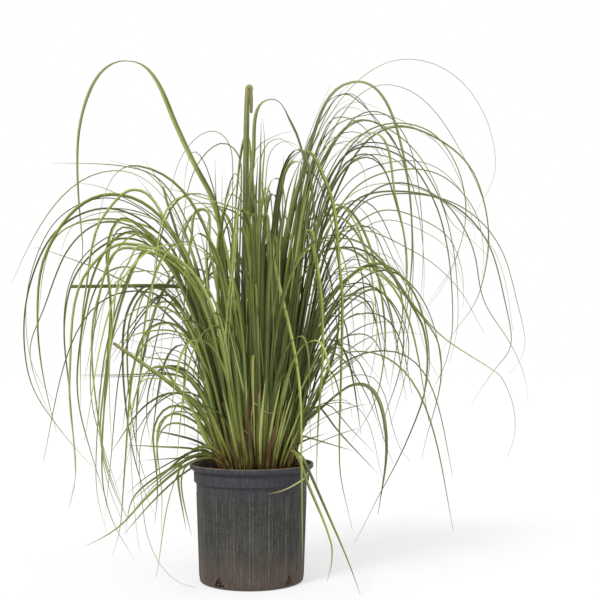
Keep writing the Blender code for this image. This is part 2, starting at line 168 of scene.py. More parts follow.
class Nodes:
    # A thin hand for building a material's node tree.
    def __init__(self, name):
        self.material = bpy.data.materials.new(name)
        self.material.use_nodes = True
        self.tree = self.material.node_tree
        self.shader = self.tree.nodes["Principled BSDF"]

    def add(self, kind, **settings):
        node = self.tree.nodes.new(kind)
        for key, value in settings.items():
            setattr(node, key, value)
        return node

    def link(self, source, target):
        self.tree.links.new(source, target)

    def feed(self, socket, value):
        if isinstance(value, bpy.types.NodeSocket):
            self.link(value, socket)
        else:
            socket.default_value = value

    def math(self, operation, first, second=0.0, clamp=False):
        node = self.add("ShaderNodeMath", operation=operation, use_clamp=clamp)
        self.feed(node.inputs[0], first)
        self.feed(node.inputs[1], second)
        return node.outputs[0]

    def smooth(self, value, low, high):
        node = self.add("ShaderNodeMapRange", interpolation_type="SMOOTHSTEP")
        self.feed(node.inputs["Value"], value)
        node.inputs["From Min"].default_value = low
        node.inputs["From Max"].default_value = high
        return node.outputs["Result"]

    def noise(self, vector, scale, detail=3.0, rough=0.55):
        node = self.add("ShaderNodeTexNoise")
        self.link(vector, node.inputs["Vector"])
        node.inputs["Scale"].default_value = scale
        node.inputs["Detail"].default_value = detail
        node.inputs["Roughness"].default_value = rough
        return node.outputs["Fac"]

    def stretch(self, vector, scale):
        node = self.add("ShaderNodeMapping")
        self.link(vector, node.inputs["Vector"])
        node.inputs["Scale"].default_value = scale
        return node.outputs["Vector"]

    def blend(self, share, first, second, kind="MIX"):
        node = self.add("ShaderNodeMix", data_type="RGBA", blend_type=kind)
        self.feed(node.inputs[0], share)
        for socket, value in ((node.inputs[6], first), (node.inputs[7], second)):
            if isinstance(value, bpy.types.NodeSocket):
                self.link(value, socket)
            else:
                socket.default_value = (*value, 1.0)
        return node.outputs[2]

    def ramp(self, value, stops):
        node = self.add("ShaderNodeValToRGB")
        self.link(value, node.inputs["Fac"])
        elements = node.color_ramp.elements
        while len(elements) < len(stops):
            elements.new(0.5)
        for element, (place, colour) in zip(elements, stops):
            element.position = place
            element.color = (*colour, 1.0)
        return node.outputs["Color"]

    def bump(self, height, strength, distance):
        node = self.add("ShaderNodeBump")
        self.link(height, node.inputs["Height"])
        node.inputs["Strength"].default_value = strength
        node.inputs["Distance"].default_value = distance
        self.link(node.outputs["Normal"], self.shader.inputs["Normal"])

    def place(self):
        node = self.add("ShaderNodeTexCoord")
        return node.outputs["Object"]


leafColours = {
    "dark": (0.015, 0.022, 0.004),
    "green": (0.054, 0.078, 0.006),
    "bright": (0.250, 0.300, 0.045),
    "pale": (0.420, 0.460, 0.180),
    "slateDark": (0.015, 0.020, 0.012),
    "slate": (0.062, 0.078, 0.042),
    "slateBright": (0.190, 0.220, 0.135),
    "slatePale": (0.370, 0.400, 0.300),
    "straw": (0.330, 0.245, 0.110),
    "brown": (0.080, 0.034, 0.017),
    "base": (0.270, 0.262, 0.050),
    "midrib": (0.235, 0.262, 0.085),
}


slateShares = {"leaf_dark": 0.80, "leaf_green": 0.36, "leaf_pale": 0.12, "shoot_green": 0.14}


def makeLeafMaterial(name, slateShare):
    # leafLook holds, for each point of a blade: how far along, tone, dryness, how far across.
    made = Nodes(name)
    look = made.add("ShaderNodeAttribute", attribute_name="leafLook")
    parts = made.add("ShaderNodeSeparateColor")
    made.link(look.outputs["Color"], parts.inputs[0])
    along, tone, dry = parts.outputs[0], parts.outputs[1], parts.outputs[2]
    across = look.outputs["Alpha"]
    place = made.place()
    height = made.add("ShaderNodeSeparateXYZ")
    made.link(place, height.inputs[0])

    patches = made.noise(place, 9.0, 4.0)
    shade = made.math("MULTIPLY_ADD", patches, 0.60)
    shade.node.inputs[2].default_value = -0.30
    paintedFoldShade = made.math("MULTIPLY_ADD", made.smooth(across, 0.40, 0.60), 0.26)
    paintedFoldShade.node.inputs[2].default_value = -0.13   # painted shade: one half of a folded blade is painted darker, as if the fold turned it from the light
    paintedHangingLight = made.math("MULTIPLY_ADD", made.smooth(along, 0.32, 0.64), 0.15)
    paintedHangingLight.node.inputs[2].default_value = -0.10   # painted light and shade: the part that hangs in the light is painted paler and the rising part inside the clump darker, partly also the paler upper side that a hanging blade shows
    shade = made.math("ADD", shade, paintedHangingLight)
    mixed = made.math("ADD", made.math("ADD", tone, shade), paintedFoldShade, clamp=True)
    colour = made.ramp(mixed, ((0.0, leafColours["dark"]), (0.40, leafColours["green"]),
                               (0.72, leafColours["bright"]), (1.0, leafColours["pale"])))
    slate = made.ramp(mixed, ((0.0, leafColours["slateDark"]), (0.40, leafColours["slate"]),
                              (0.72, leafColours["slateBright"]), (1.0, leafColours["slatePale"])))
    turnOfHue = made.math("SINE", made.math("MULTIPLY", tone, 311.0))
    greying = made.math("MULTIPLY_ADD", turnOfHue, slateShare * 0.5)
    greying.node.inputs[2].default_value = slateShare * 0.5
    colour = made.blend(greying, colour, slate)
    veins = made.math("SINE", made.math("MULTIPLY", across, 82.0))
    streaks = made.math("MULTIPLY_ADD", veins, 0.07)
    streaks.node.inputs[2].default_value = 0.07
    colour = made.blend(streaks, colour, leafColours["pale"])
    ribGap = made.math("ABSOLUTE", made.math("SUBTRACT", across, 0.5))
    rib = made.math("SUBTRACT", 1.0, made.smooth(ribGap, 0.03, 0.10))
    colour = made.blend(made.math("MULTIPLY", rib, 0.45), colour, leafColours["midrib"])

    # painted highlight: a pale band along each edge of the blade stands in for the bright rim light on its
    # edges
    edge = made.smooth(ribGap, 0.38, 0.48)
    colour = made.blend(made.math("MULTIPLY", edge, 0.15), colour, leafColours["pale"])

    # Dry tips and edges: straw first, then brown at the very end.
    fray = made.math("MULTIPLY_ADD", made.noise(place, 30.0), 0.35)
    fray.node.inputs[2].default_value = -0.17
    reach = made.math("ADD", made.math("ADD", along, dry), fray)
    colour = made.blend(made.smooth(reach, 0.95, 1.20), colour, leafColours["straw"])
    colour = made.blend(made.math("MULTIPLY", made.smooth(reach, 1.25, 1.65), 0.9), colour,
                        leafColours["brown"])

    # Sheaths: yellow-green above the soil, red-brown where they meet it, in streaks of their own.
    rise = made.math("MULTIPLY_ADD", made.noise(made.stretch(place, (1.0, 1.0, 0.15)), 110.0), 0.24)
    rise.node.inputs[2].default_value = -0.12
    level = made.math("ADD", height.outputs[2], rise)
    young = made.math("SUBTRACT", 1.0, made.smooth(along, 0.16, 0.34))
    yellowing = made.math("MULTIPLY", young, made.math("SUBTRACT", 1.0, made.smooth(level, 0.22, 0.38)))
    colour = made.blend(made.math("MULTIPLY", yellowing, 0.60), colour, leafColours["base"])
    browning = made.math("MULTIPLY", young, made.math("SUBTRACT", 1.0, made.smooth(level, 0.205, 0.285)))
    colour = made.blend(made.math("MULTIPLY", browning, 0.85), colour, leafColours["brown"])
    made.link(colour, made.shader.inputs["Base Color"])
    made.shader.inputs["Roughness"].default_value = 0.45
    made.shader.inputs["Specular IOR Level"].default_value = 0.18
    made.bump(veins, 0.35, 0.0003)
    return made.material


def makePotMaterial():
    # Fine upright scuffs, brown dust low down, a bluish band above and pale specks.
    made = Nodes("dustyPot")
    place = made.place()
    parts = made.add("ShaderNodeSeparateXYZ")
    made.link(place, parts.inputs[0])
    level = parts.outputs[2]
    upright = made.stretch(place, (1.0, 1.0, 0.05))
    scuffs = made.noise(upright, 420.0, 4.0, 0.7)
    bands = made.noise(upright, 90.0, 3.0, 0.6)
    clouds = made.noise(place, 16.0, 6.0, 0.65)
    grain = made.noise(place, 1100.0, 3.0, 0.7)
    colour = made.ramp(clouds, ((0.32, (0.017, 0.019, 0.018)), (0.52, (0.030, 0.031, 0.027)),
                                (0.72, (0.050, 0.049, 0.040))))
    mottles = made.noise(place, 260.0, 3.0, 0.7)
    colour = made.blend(made.math("MULTIPLY", made.smooth(mottles, 0.50, 0.68), 0.40), colour,
                        (0.085, 0.084, 0.072))
    dustRise = made.math("MULTIPLY_ADD", made.noise(place, 22.0, 5.0), 0.14)
    dustRise.node.inputs[2].default_value = -0.07
    dust = made.math("SUBTRACT", 1.0, made.smooth(made.math("ADD", level, dustRise), 0.015, 0.105))
    colour = made.blend(made.math("MULTIPLY", dust, 0.65), colour, (0.078, 0.052, 0.040))
    upper = made.smooth(level, 0.140, 0.200)
    colour = made.blend(made.math("MULTIPLY", upper, 0.45), colour, (0.040, 0.040, 0.060))
    colour = made.blend(made.math("MULTIPLY", made.smooth(scuffs, 0.50, 0.72), 0.38), colour,
                        (0.120, 0.118, 0.104))
    colour = made.blend(made.math("MULTIPLY", made.smooth(scuffs, 0.50, 0.30), 0.45), colour,
                        (0.013, 0.014, 0.014))
    colour = made.blend(made.math("MULTIPLY", made.smooth(bands, 0.55, 0.75), 0.25), colour,
                        (0.105, 0.100, 0.088))
    specks = made.smooth(made.noise(place, 520.0, 2.0), 0.66, 0.74)
    colour = made.blend(made.math("MULTIPLY", specks, 0.45), colour, (0.22, 0.20, 0.165))
    pits = made.smooth(made.noise(place, 380.0, 2.0), 0.36, 0.29)
    colour = made.blend(made.math("MULTIPLY", pits, 0.6), colour, (0.010, 0.010, 0.010))
    wornEdge = made.math("ADD", level, made.math("MULTIPLY", made.noise(place, 80.0, 4.0), 0.004))
    colour = made.blend(made.math("MULTIPLY", made.smooth(wornEdge, 0.2228, 0.2246), 0.80), colour,
                        (0.150, 0.112, 0.080))
    ribs = made.add("ShaderNodeAttribute", attribute_name="ribEdge")
    broken = made.smooth(made.noise(place, 48.0, 5.0, 0.7), 0.30, 0.60)
    wear = made.math("MULTIPLY", made.math("MULTIPLY", ribs.outputs["Fac"], 0.46), broken)
    colour = made.blend(wear, colour, (0.150, 0.145, 0.125))
    made.link(colour, made.shader.inputs["Base Color"])
    rough = made.math("MULTIPLY_ADD", clouds, 0.25)
    rough.node.inputs[2].default_value = 0.50
    made.link(rough, made.shader.inputs["Roughness"])
    made.shader.inputs["Specular IOR Level"].default_value = 0.22
    made.bump(made.math("ADD", made.math("MULTIPLY", grain, 0.6), scuffs), 0.35, 0.0006)
    return made.material


def makeInnerPotMaterial():
    made = Nodes("darkPotInside")
    clouds = made.noise(made.place(), 40.0, 4.0)
    colour = made.ramp(clouds, ((0.3, (0.008, 0.008, 0.009)), (0.7, (0.022, 0.020, 0.019))))
    made.link(colour, made.shader.inputs["Base Color"])
    made.shader.inputs["Roughness"].default_value = 0.7
    return made.material


def makeSoilMaterial():
    made = Nodes("barkMix")
    place = made.place()
    crumbs = made.noise(place, 260.0, 5.0, 0.7)
    clods = made.noise(place, 45.0, 4.0)
    colour = made.ramp(crumbs, ((0.30, (0.018, 0.012, 0.008)), (0.52, (0.070, 0.042, 0.024)),
                                (0.70, (0.170, 0.105, 0.060))))
    colour = made.blend(made.smooth(clods, 0.45, 0.65), colour, (0.055, 0.034, 0.022), "MULTIPLY")
    made.link(made.blend(0.45, colour, (0.060, 0.036, 0.022)), made.shader.inputs["Base Color"])
    made.shader.inputs["Roughness"].default_value = 0.95
    made.bump(crumbs, 0.9, 0.002)
    return made.material


def makeBarkMaterial():
    made = Nodes("barkChips")
    place = made.place()
    pieces = made.noise(place, 120.0, 2.0)
    grain = made.noise(made.stretch(place, (1.0, 0.25, 1.0)), 900.0, 3.0)
    colour = made.ramp(pieces, ((0.32, (0.040, 0.022, 0.013)), (0.50, (0.120, 0.062, 0.034)),
                                (0.68, (0.260, 0.160, 0.092))))
    colour = made.blend(made.math("MULTIPLY", grain, 0.4), colour, (0.05, 0.03, 0.02))
    made.link(colour, made.shader.inputs["Base Color"])
    made.shader.inputs["Roughness"].default_value = 0.85
    made.bump(grain, 0.5, 0.0006)
    return made.material


# Pot

pot = {
    "height": 223.0, "rimRadius": 117.5, "baseRadius": 98.5, "wallTopRadius": 105.0, "wall": 1.6,
    "bandLow": 188.0, "bandTop": 210.0, "bandRadius": 109.5,
    "ribCount": 18, "ribHalfAngle": 2.0, "ribSlope": 0.5, "ribProud": 1.0, "ribGroove": 0.75,
    "ribFrom": 272.5, "ribLow": 8.0, "ribTop": 172.0, "ribRamp": 4.0,
    "floor": 2.0, "steps": 720,
    "drainHeadings": (56.0, 136.0, 236.0, 316.0), "drainWidth": 24.0, "drainHeight": 20.0,
    "drainLow": 5.0, "drainDepth": 14.0,
}


def wallRadius(height):
    return mix(pot["baseRadius"], pot["wallTopRadius"], height / pot["bandLow"])


def potOutline():
    # Radius, height and corner rounding, up the outside and down the inside.
    band, rim, wall = pot["bandRadius"], pot["rimRadius"], pot["wall"]
    bandLow, bandTop, top = pot["bandLow"], pot["bandTop"], pot["height"]
    return (
        (0.0, 0.0, 0.0),
        (pot["baseRadius"] - 6.0, 0.0, 0.0),
        (pot["baseRadius"] - 0.3, 0.4, 4.5),
        (wallRadius(pot["ribLow"]), pot["ribLow"], 0.0),
        (wallRadius(pot["ribLow"] + pot["ribRamp"]), pot["ribLow"] + pot["ribRamp"], 0.0),
        (wallRadius(pot["ribTop"] - pot["ribRamp"]), pot["ribTop"] - pot["ribRamp"], 0.0),
        (wallRadius(pot["ribTop"]), pot["ribTop"], 0.0),
        (pot["wallTopRadius"], bandLow - 0.4, 0.5),
        (band - 0.2, bandLow + 0.6, 0.9),
        (band + 0.3, bandTop - 4.0, 1.5),
        (band - 0.9, bandTop - 0.2, 1.0),
        (band + 3.6, bandTop + 1.2, 1.0),
        (rim, bandTop + 5.0, 2.0),
        (rim, top - 0.4, 1.3),
        (rim - 3.4, top - 0.2, 1.3),
        (band - wall + 1.4, bandTop + 1.0, 2.0),
        (band - wall, bandLow + 1.2, 1.0),
        (pot["wallTopRadius"] - wall, bandLow - wall, 1.0),
        (pot["baseRadius"] - wall, 6.0, 3.0),
        (pot["baseRadius"] - 5.0, pot["floor"], 1.5),
        (0.0, pot["floor"], 0.0),
    )


def roundedOutline(points, cuts=3):
    # Each corner with a rounding becomes a short curve between its two sides.
    result = []
    for index, (radius, height, rounding) in enumerate(points):
        corner = Vector((radius, height))
        if rounding == 0.0:
            result.append(corner)
            continue
        before = Vector(points[index - 1][:2])
        after = Vector(points[index + 1][:2])
        start = corner + (before - corner).normalized() * min(rounding, (before - corner).length * 0.45)
        end = corner + (after - corner).normalized() * min(rounding, (after - corner).length * 0.45)
        for step in range(cuts + 1):
            t = step / cuts
            result.append(start * (1 - t) ** 2 + corner * 2 * t * (1 - t) + end * t * t)
    return result


def ribRise(angle):
    # How proud the wall stands at this heading: full on a rib, and below the wall in the groove beside it.
    pitch = 360.0 / pot["ribCount"]
    off = abs((angle - pot["ribFrom"] + pitch / 2.0) % pitch - pitch / 2.0)
    edge = pot["ribHalfAngle"] + pot["ribSlope"]
    rise = pot["ribProud"] * (1.0 - smooth(pot["ribHalfAngle"], edge, off))
    groove = smooth(edge - 0.2, edge + 0.3, off) * (1.0 - smooth(edge + 0.3, edge + 1.3, off))
    worn = smooth(0.9, 0.0, abs(off - pot["ribHalfAngle"]))
    return rise - pot["ribGroove"] * groove, worn


def makeDrainCutter(heading):
    radius = pot["drainHeight"] / 1.5
    widen = pot["drainWidth"] / (radius * math.sqrt(3.0))
    middle = Vector((0.0, -pot["baseRadius"], pot["drainLow"] + radius / 2.0))
    place = Matrix.Scale(mm, 4) @ Matrix.Rotation(math.radians(heading + 90.0), 4, "Z")
    place = place @ Matrix.Translation(middle) @ Matrix.Diagonal((widen, 1.0, 1.0, 1.0))
    place = place @ Matrix.Rotation(math.radians(90.0), 4, "X")
    bm = bmesh.new()
    bmesh.ops.create_cone(bm, cap_ends=True, segments=3, radius1=radius, radius2=radius,
                          depth=pot["drainDepth"])
    corners = [edge for edge in bm.edges if abs(edge.verts[0].co.z - edge.verts[1].co.z) > 1.0]
    bmesh.ops.bevel(bm, geom=corners, offset=2.0, offset_type="OFFSET", affect="EDGES", segments=3,
                    profile=0.5, material=-1)
    bmesh.ops.transform(bm, matrix=place, verts=bm.verts)
    mesh = bpy.data.meshes.new("drainCutter")
    bm.to_mesh(mesh)
    bm.free()
    cutter = bpy.data.objects.new("drainCutter", mesh)
    scene.collection.objects.link(cutter)
    return cutter


def makePot():
    print("pot")
    outline = roundedOutline(potOutline())
    start = math.radians(pot["ribFrom"])
    bm = bmesh.new()
    verts = []
    for radius, height in outline:
        place = Vector((math.cos(start) * radius, math.sin(start) * radius, height)) * mm
        verts.append(bm.verts.new(place))
    edges = [bm.edges.new(pair) for pair in zip(verts, verts[1:])]
    bmesh.ops.spin(bm, geom=verts + edges, cent=(0, 0, 0), axis=(0, 0, 1), angle=math.tau,
                   steps=pot["steps"], use_merge=True)
    bmesh.ops.remove_doubles(bm, verts=bm.verts, dist=0.00002)
    bmesh.ops.recalc_face_normals(bm, faces=bm.faces)
    ribEdge = bm.verts.layers.float.new("ribEdge")
    for vert in bm.verts:
        height = vert.co.z / mm
        radius = math.hypot(vert.co.x, vert.co.y) / mm
        inRibs = pot["ribLow"] + 0.1 < height < pot["ribTop"] - 0.1
        if inRibs and radius > wallRadius(height) - pot["wall"] / 2.0:
            heading = math.degrees(math.atan2(vert.co.y, vert.co.x))
            rise, worn = ribRise(heading)
            vert.co.xy *= (radius + rise) / radius
            vert[ribEdge] = worn
    for face in bm.faces:
        middle = face.calc_center_median()
        radius = math.hypot(middle.x, middle.y) / mm
        inside = face.normal.dot(Vector((middle.x, middle.y, 0.0))) < 0.0 or face.normal.z > 0.9
        face.material_index = 1 if inside and radius < pot["rimRadius"] - 3.2 else 0
    piece = finishPiece("ribbed_pot", bm, (makePotMaterial(), makeInnerPotMaterial()),
                        ("nursery_pot",))
    cutters = [makeDrainCutter(heading) for heading in pot["drainHeadings"]]
    for cutter in cutters:
        cut = piece.modifiers.new("drain", "BOOLEAN")
        cut.operation = "DIFFERENCE"
        cut.solver = "EXACT"
        cut.object = cutter
    cutMesh = bpy.data.meshes.new_from_object(piece.evaluated_get(bpy.context.evaluated_depsgraph_get()))
    piece.modifiers.clear()
    piece.data = cutMesh
    cutMesh.name = "ribbed_pot"
    cutMesh.set_sharp_from_angle(angle=math.radians(38.0))
    for cutter in cutters:
        bpy.data.objects.remove(cutter)


# Soil

soil = {
    "edge": 102.0, "bottom": 2.4, "side": 95.0, "top": 205.0, "edgeDrop": 3.0, "lumps": 2.6,
    "rings": 22, "steps": 110, "chips": 520, "holeChips": 46, "seed": 11,
}


def soilHeight(x, y):
    radius = math.hypot(x, y)
    drop = soil["edgeDrop"] * smooth(70.0, soil["edge"], radius)
    spot = Vector((x, y, 0.0))
    lump = noise.noise(spot / 22.0) * 0.6 + noise.noise(spot / 7.0) * 0.4
    return soil["top"] - drop + lump * soil["lumps"]


def makeSoil():
    print("soil")
    bm = bmesh.new()
    outline = [(0.0, soil["top"])]
    for ring in range(1, soil["rings"] + 1):
        outline.append((soil["edge"] * ring / soil["rings"], soil["top"]))
    outline += [(soil["edge"], 180.0), (soil["side"], 7.0), (soil["side"] - 4.0, soil["bottom"]),
                (0.0, soil["bottom"])]
    verts = [bm.verts.new((radius * mm, 0.0, height * mm)) for radius, height in outline]
    edges = [bm.edges.new(pair) for pair in zip(verts, verts[1:])]
    bmesh.ops.spin(bm, geom=verts + edges, cent=(0, 0, 0), axis=(0, 0, 1), angle=math.tau,
                   steps=soil["steps"], use_merge=True)
    bmesh.ops.remove_doubles(bm, verts=bm.verts, dist=0.00002)
    bmesh.ops.recalc_face_normals(bm, faces=bm.faces)
    for vert in bm.verts:
        if vert.co.z > (soil["top"] - 1.0) * mm:
            vert.co.z = soilHeight(vert.co.x / mm, vert.co.y / mm) * mm
    finishPiece("bark_soil", bm, (makeSoilMaterial(),), ("potting_soil",))


def makeChips():
    dice = random.Random(soil["seed"])
    bm = bmesh.new()
    for _ in range(soil["chips"]):
        radius = soil["edge"] * 0.97 * math.sqrt(dice.random())
        spot = turn(dice.uniform(0.0, 360.0)) * radius
        size = dice.uniform(1.6, 4.2)
        chip = bmesh.ops.create_cube(bm, size=1.0)["verts"]
        shape = Matrix.Diagonal((size * dice.uniform(1.0, 2.6), size * dice.uniform(0.5, 1.0),
                                 size * dice.uniform(0.25, 0.5), 1.0))
        lean = Matrix.Rotation(math.radians(dice.uniform(-35.0, 35.0)), 4, "X")
        tip = Matrix.Rotation(math.radians(dice.uniform(-30.0, 30.0)), 4, "Y")
        spin = Matrix.Rotation(math.radians(dice.uniform(0.0, 360.0)), 4, "Z")
        spot.z = soilHeight(spot.x, spot.y) + size * 0.15
        for vert in chip:
            vert.co += Vector([dice.uniform(-0.16, 0.16) for _ in range(3)])
        place = Matrix.Scale(mm, 4) @ Matrix.Translation(spot) @ spin @ tip @ lean @ shape
        bmesh.ops.transform(bm, matrix=place, verts=chip)
    for heading in pot["drainHeadings"]:
        for _ in range(soil["holeChips"]):
            rise = dice.uniform(0.05, 0.85)
            aside = dice.uniform(-1.0, 1.0) * (1.0 - rise) * pot["drainWidth"] * 0.46
            spot = turn(heading) * (pot["baseRadius"] - dice.uniform(0.6, 4.0)) + turn(heading + 90.0) * aside
            spot.z = pot["drainLow"] + rise * pot["drainHeight"]
            size = dice.uniform(1.2, 2.6)
            chip = bmesh.ops.create_cube(bm, size=size)["verts"]
            for vert in chip:
                vert.co += Vector([dice.uniform(-0.3, 0.3) * size for _ in range(3)])
            spin = Matrix.Rotation(dice.uniform(0.0, math.tau), 4, "Z")
            bmesh.ops.transform(bm, matrix=Matrix.Scale(mm, 4) @ Matrix.Translation(spot) @ spin, verts=chip)
    finishPiece("bark_chips", bm, (makeBarkMaterial(),))


# Blades

blade = {
    "thickness": 0.42, "footShare": 0.62, "tipShare": 0.05,
    "keel": 0.17, "sheathKeel": 0.42, "sheathReach": 0.14,
    "turnPerStep": 7.0, "longestStep": 26.0, "wander": 5.0, "seed": 23,
}

# heading: the way a leaf leans, 0 towards +X, 90 away from the viewer, 270 towards them
# foot, at: distance and direction of its foot from the crown's axis
# lean: degrees from upright at the foot
# knots: (out, up, lean) along the leaf, out from the crown's axis, up from the floor
# roll: turn of the blade about its own line; sweep: change of heading along it
# left: the share of the leaf that is left
# tone: from 0, dark, to 1, pale; partly the blade's own colour and partly painted light and shade, set paler
# where a blade faces the light; dry: how much of the tip is straw
# unroll: the share of the roll that is left at the tip; span: the stretch over which it unrolls
Leaf = namedtuple("Leaf", "heading foot at lean width knots roll sweep left tone dry unroll span",
                  defaults=(55, 0, 1.0, 0.55, 0.05, 0.3, (0.0, 1.0)))


def arcHandle(chord, bend):
    if abs(bend) < 0.01:
        return chord / 3.0
    return chord * 2.0 / 3.0 * math.tan(bend / 4.0) / math.sin(bend / 2.0)


def curvePoints(start, end):
    # Points after the start, up to the end, on a cubic that keeps the lean at both.
    here, there = Vector(start[:2]), Vector(end[:2])
    leanHere, leanThere = math.radians(start[2]), math.radians(end[2])
    chord = (there - here).length
    handle = arcHandle(chord, leanThere - leanHere)
    first = here + Vector((math.sin(leanHere), math.cos(leanHere))) * handle
    second = there - Vector((math.sin(leanThere), math.cos(leanThere))) * handle
    bend = abs(end[2] - start[2])
    steps = max(3, math.ceil(bend / blade["turnPerStep"]), math.ceil(chord / blade["longestStep"]))
    points = []
    for step in range(1, steps + 1):
        t = step / steps
        s = 1.0 - t
        points.append(here * s ** 3 + first * 3 * s * s * t + second * 3 * s * t * t + there * t ** 3)
    return points


def profilePoints(start, knots):
    points = [Vector(start[:2])]
    for knot in knots:
        points.extend(curvePoints(start, knot))
        start = knot
    return points


def wanderingLine(points, plane, heading, sweep, rollFrom, rollTo, dice, span=(0.0, 1.0)):
    # Places and frames along a leaf, in millimetres, with a slight waver that grows towards the tip.
    lengths = [0.0]
    for here, there in zip(points, points[1:]):
        lengths.append(lengths[-1] + (there - here).length)
    phase = dice.uniform(0.0, math.tau)
    waves = dice.uniform(1.2, 2.6) * math.pi
    spots = []
    for point, length in zip(points, lengths):
        t = length / lengths[-1]
        ahead = turn(heading + sweep * t * t)
        beside = Vector((-ahead.y, ahead.x, 0.0))
        waver = blade["wander"] * t * t * math.sin(waves * t + phase)
        spots.append((t, plane + ahead * point.x + beside * waver + Vector((0, 0, point.y)), beside))
    line = []
    for index, (t, place, beside) in enumerate(spots):
        before = spots[max(index - 1, 0)][1]
        after = spots[min(index + 1, len(spots) - 1)][1]
        along = (after - before).normalized()
        across = (beside - along * beside.dot(along)).normalized()
        turned = min(max((t - span[0]) / (span[1] - span[0]), 0.0), 1.0)
        angle = math.radians(mix(rollFrom, rollTo, turned))
        across = Matrix.Rotation(angle, 3, along) @ across
        line.append((t, place, across, along.cross(across)))
    return line


def leafLine(leaf, dice):
    side = leaf.at - leaf.heading
    footOut = leaf.foot * math.cos(math.radians(side))
    footSide = leaf.foot * math.sin(math.radians(side))
    points = profilePoints((footOut, crown["soilTop"], leaf.lean), leaf.knots)
    plane = Vector((crown["x"], crown["y"], 0.0)) + turn(leaf.heading + 90.0) * footSide
    rollTo = leaf.roll * leaf.unroll
    return wanderingLine(points, plane, leaf.heading, leaf.sweep, leaf.roll, rollTo, dice, leaf.span)


def bladeShare(t, widestAt, taper):
    # Share of the full width: a sheath, the widest stretch, then a long taper.
    rise = mix(blade["footShare"], 1.0, math.sin(min(t / widestAt, 1.0) * math.pi / 2.0))
    return max(rise * max(1.0 - t ** taper, 0.0) ** 0.85, blade["tipShare"])


def addBlade(bm, line, width, tone, dry, left=1.0, cuts=4, widestAt=0.26, taper=2.6):
    # Lays a flat grid along the line, folded on its midrib and rolled up at the sheath.
    look = bm.verts.layers.float_color.get("leafLook") or bm.verts.layers.float_color.new("leafLook")
    rows = len(line) - 1
    grid = bmesh.ops.create_grid(bm, x_segments=cuts, y_segments=rows, size=0.5)["verts"]
    for vert in grid:
        side = vert.co.x * 2.0
        t, place, across, normal = line[round((vert.co.y + 0.5) * rows)]
        share = t * left
        half = width / 2.0 * bladeShare(share, widestAt, taper)
        sheath = blade["sheathKeel"] * (1.0 - smooth(0.0, blade["sheathReach"], share))
        keel = 2.0 * half * (blade["keel"] + sheath)
        drop = keel * (1.0 - abs(side) ** 1.3)
        vert.co = (place + across * side * half - normal * drop) * mm
        vert[look] = (t, tone, dry, side * 0.5 + 0.5)


def finishBlades(name, bm, slotName, nodes=()):
    piece = finishPiece(name, bm, (leafMaterials[slotName],), nodes)
    shell = piece.modifiers.new("thickness", "SOLIDIFY")
    shell.thickness = blade["thickness"] * mm
    shell.offset = 0.0
    return piece


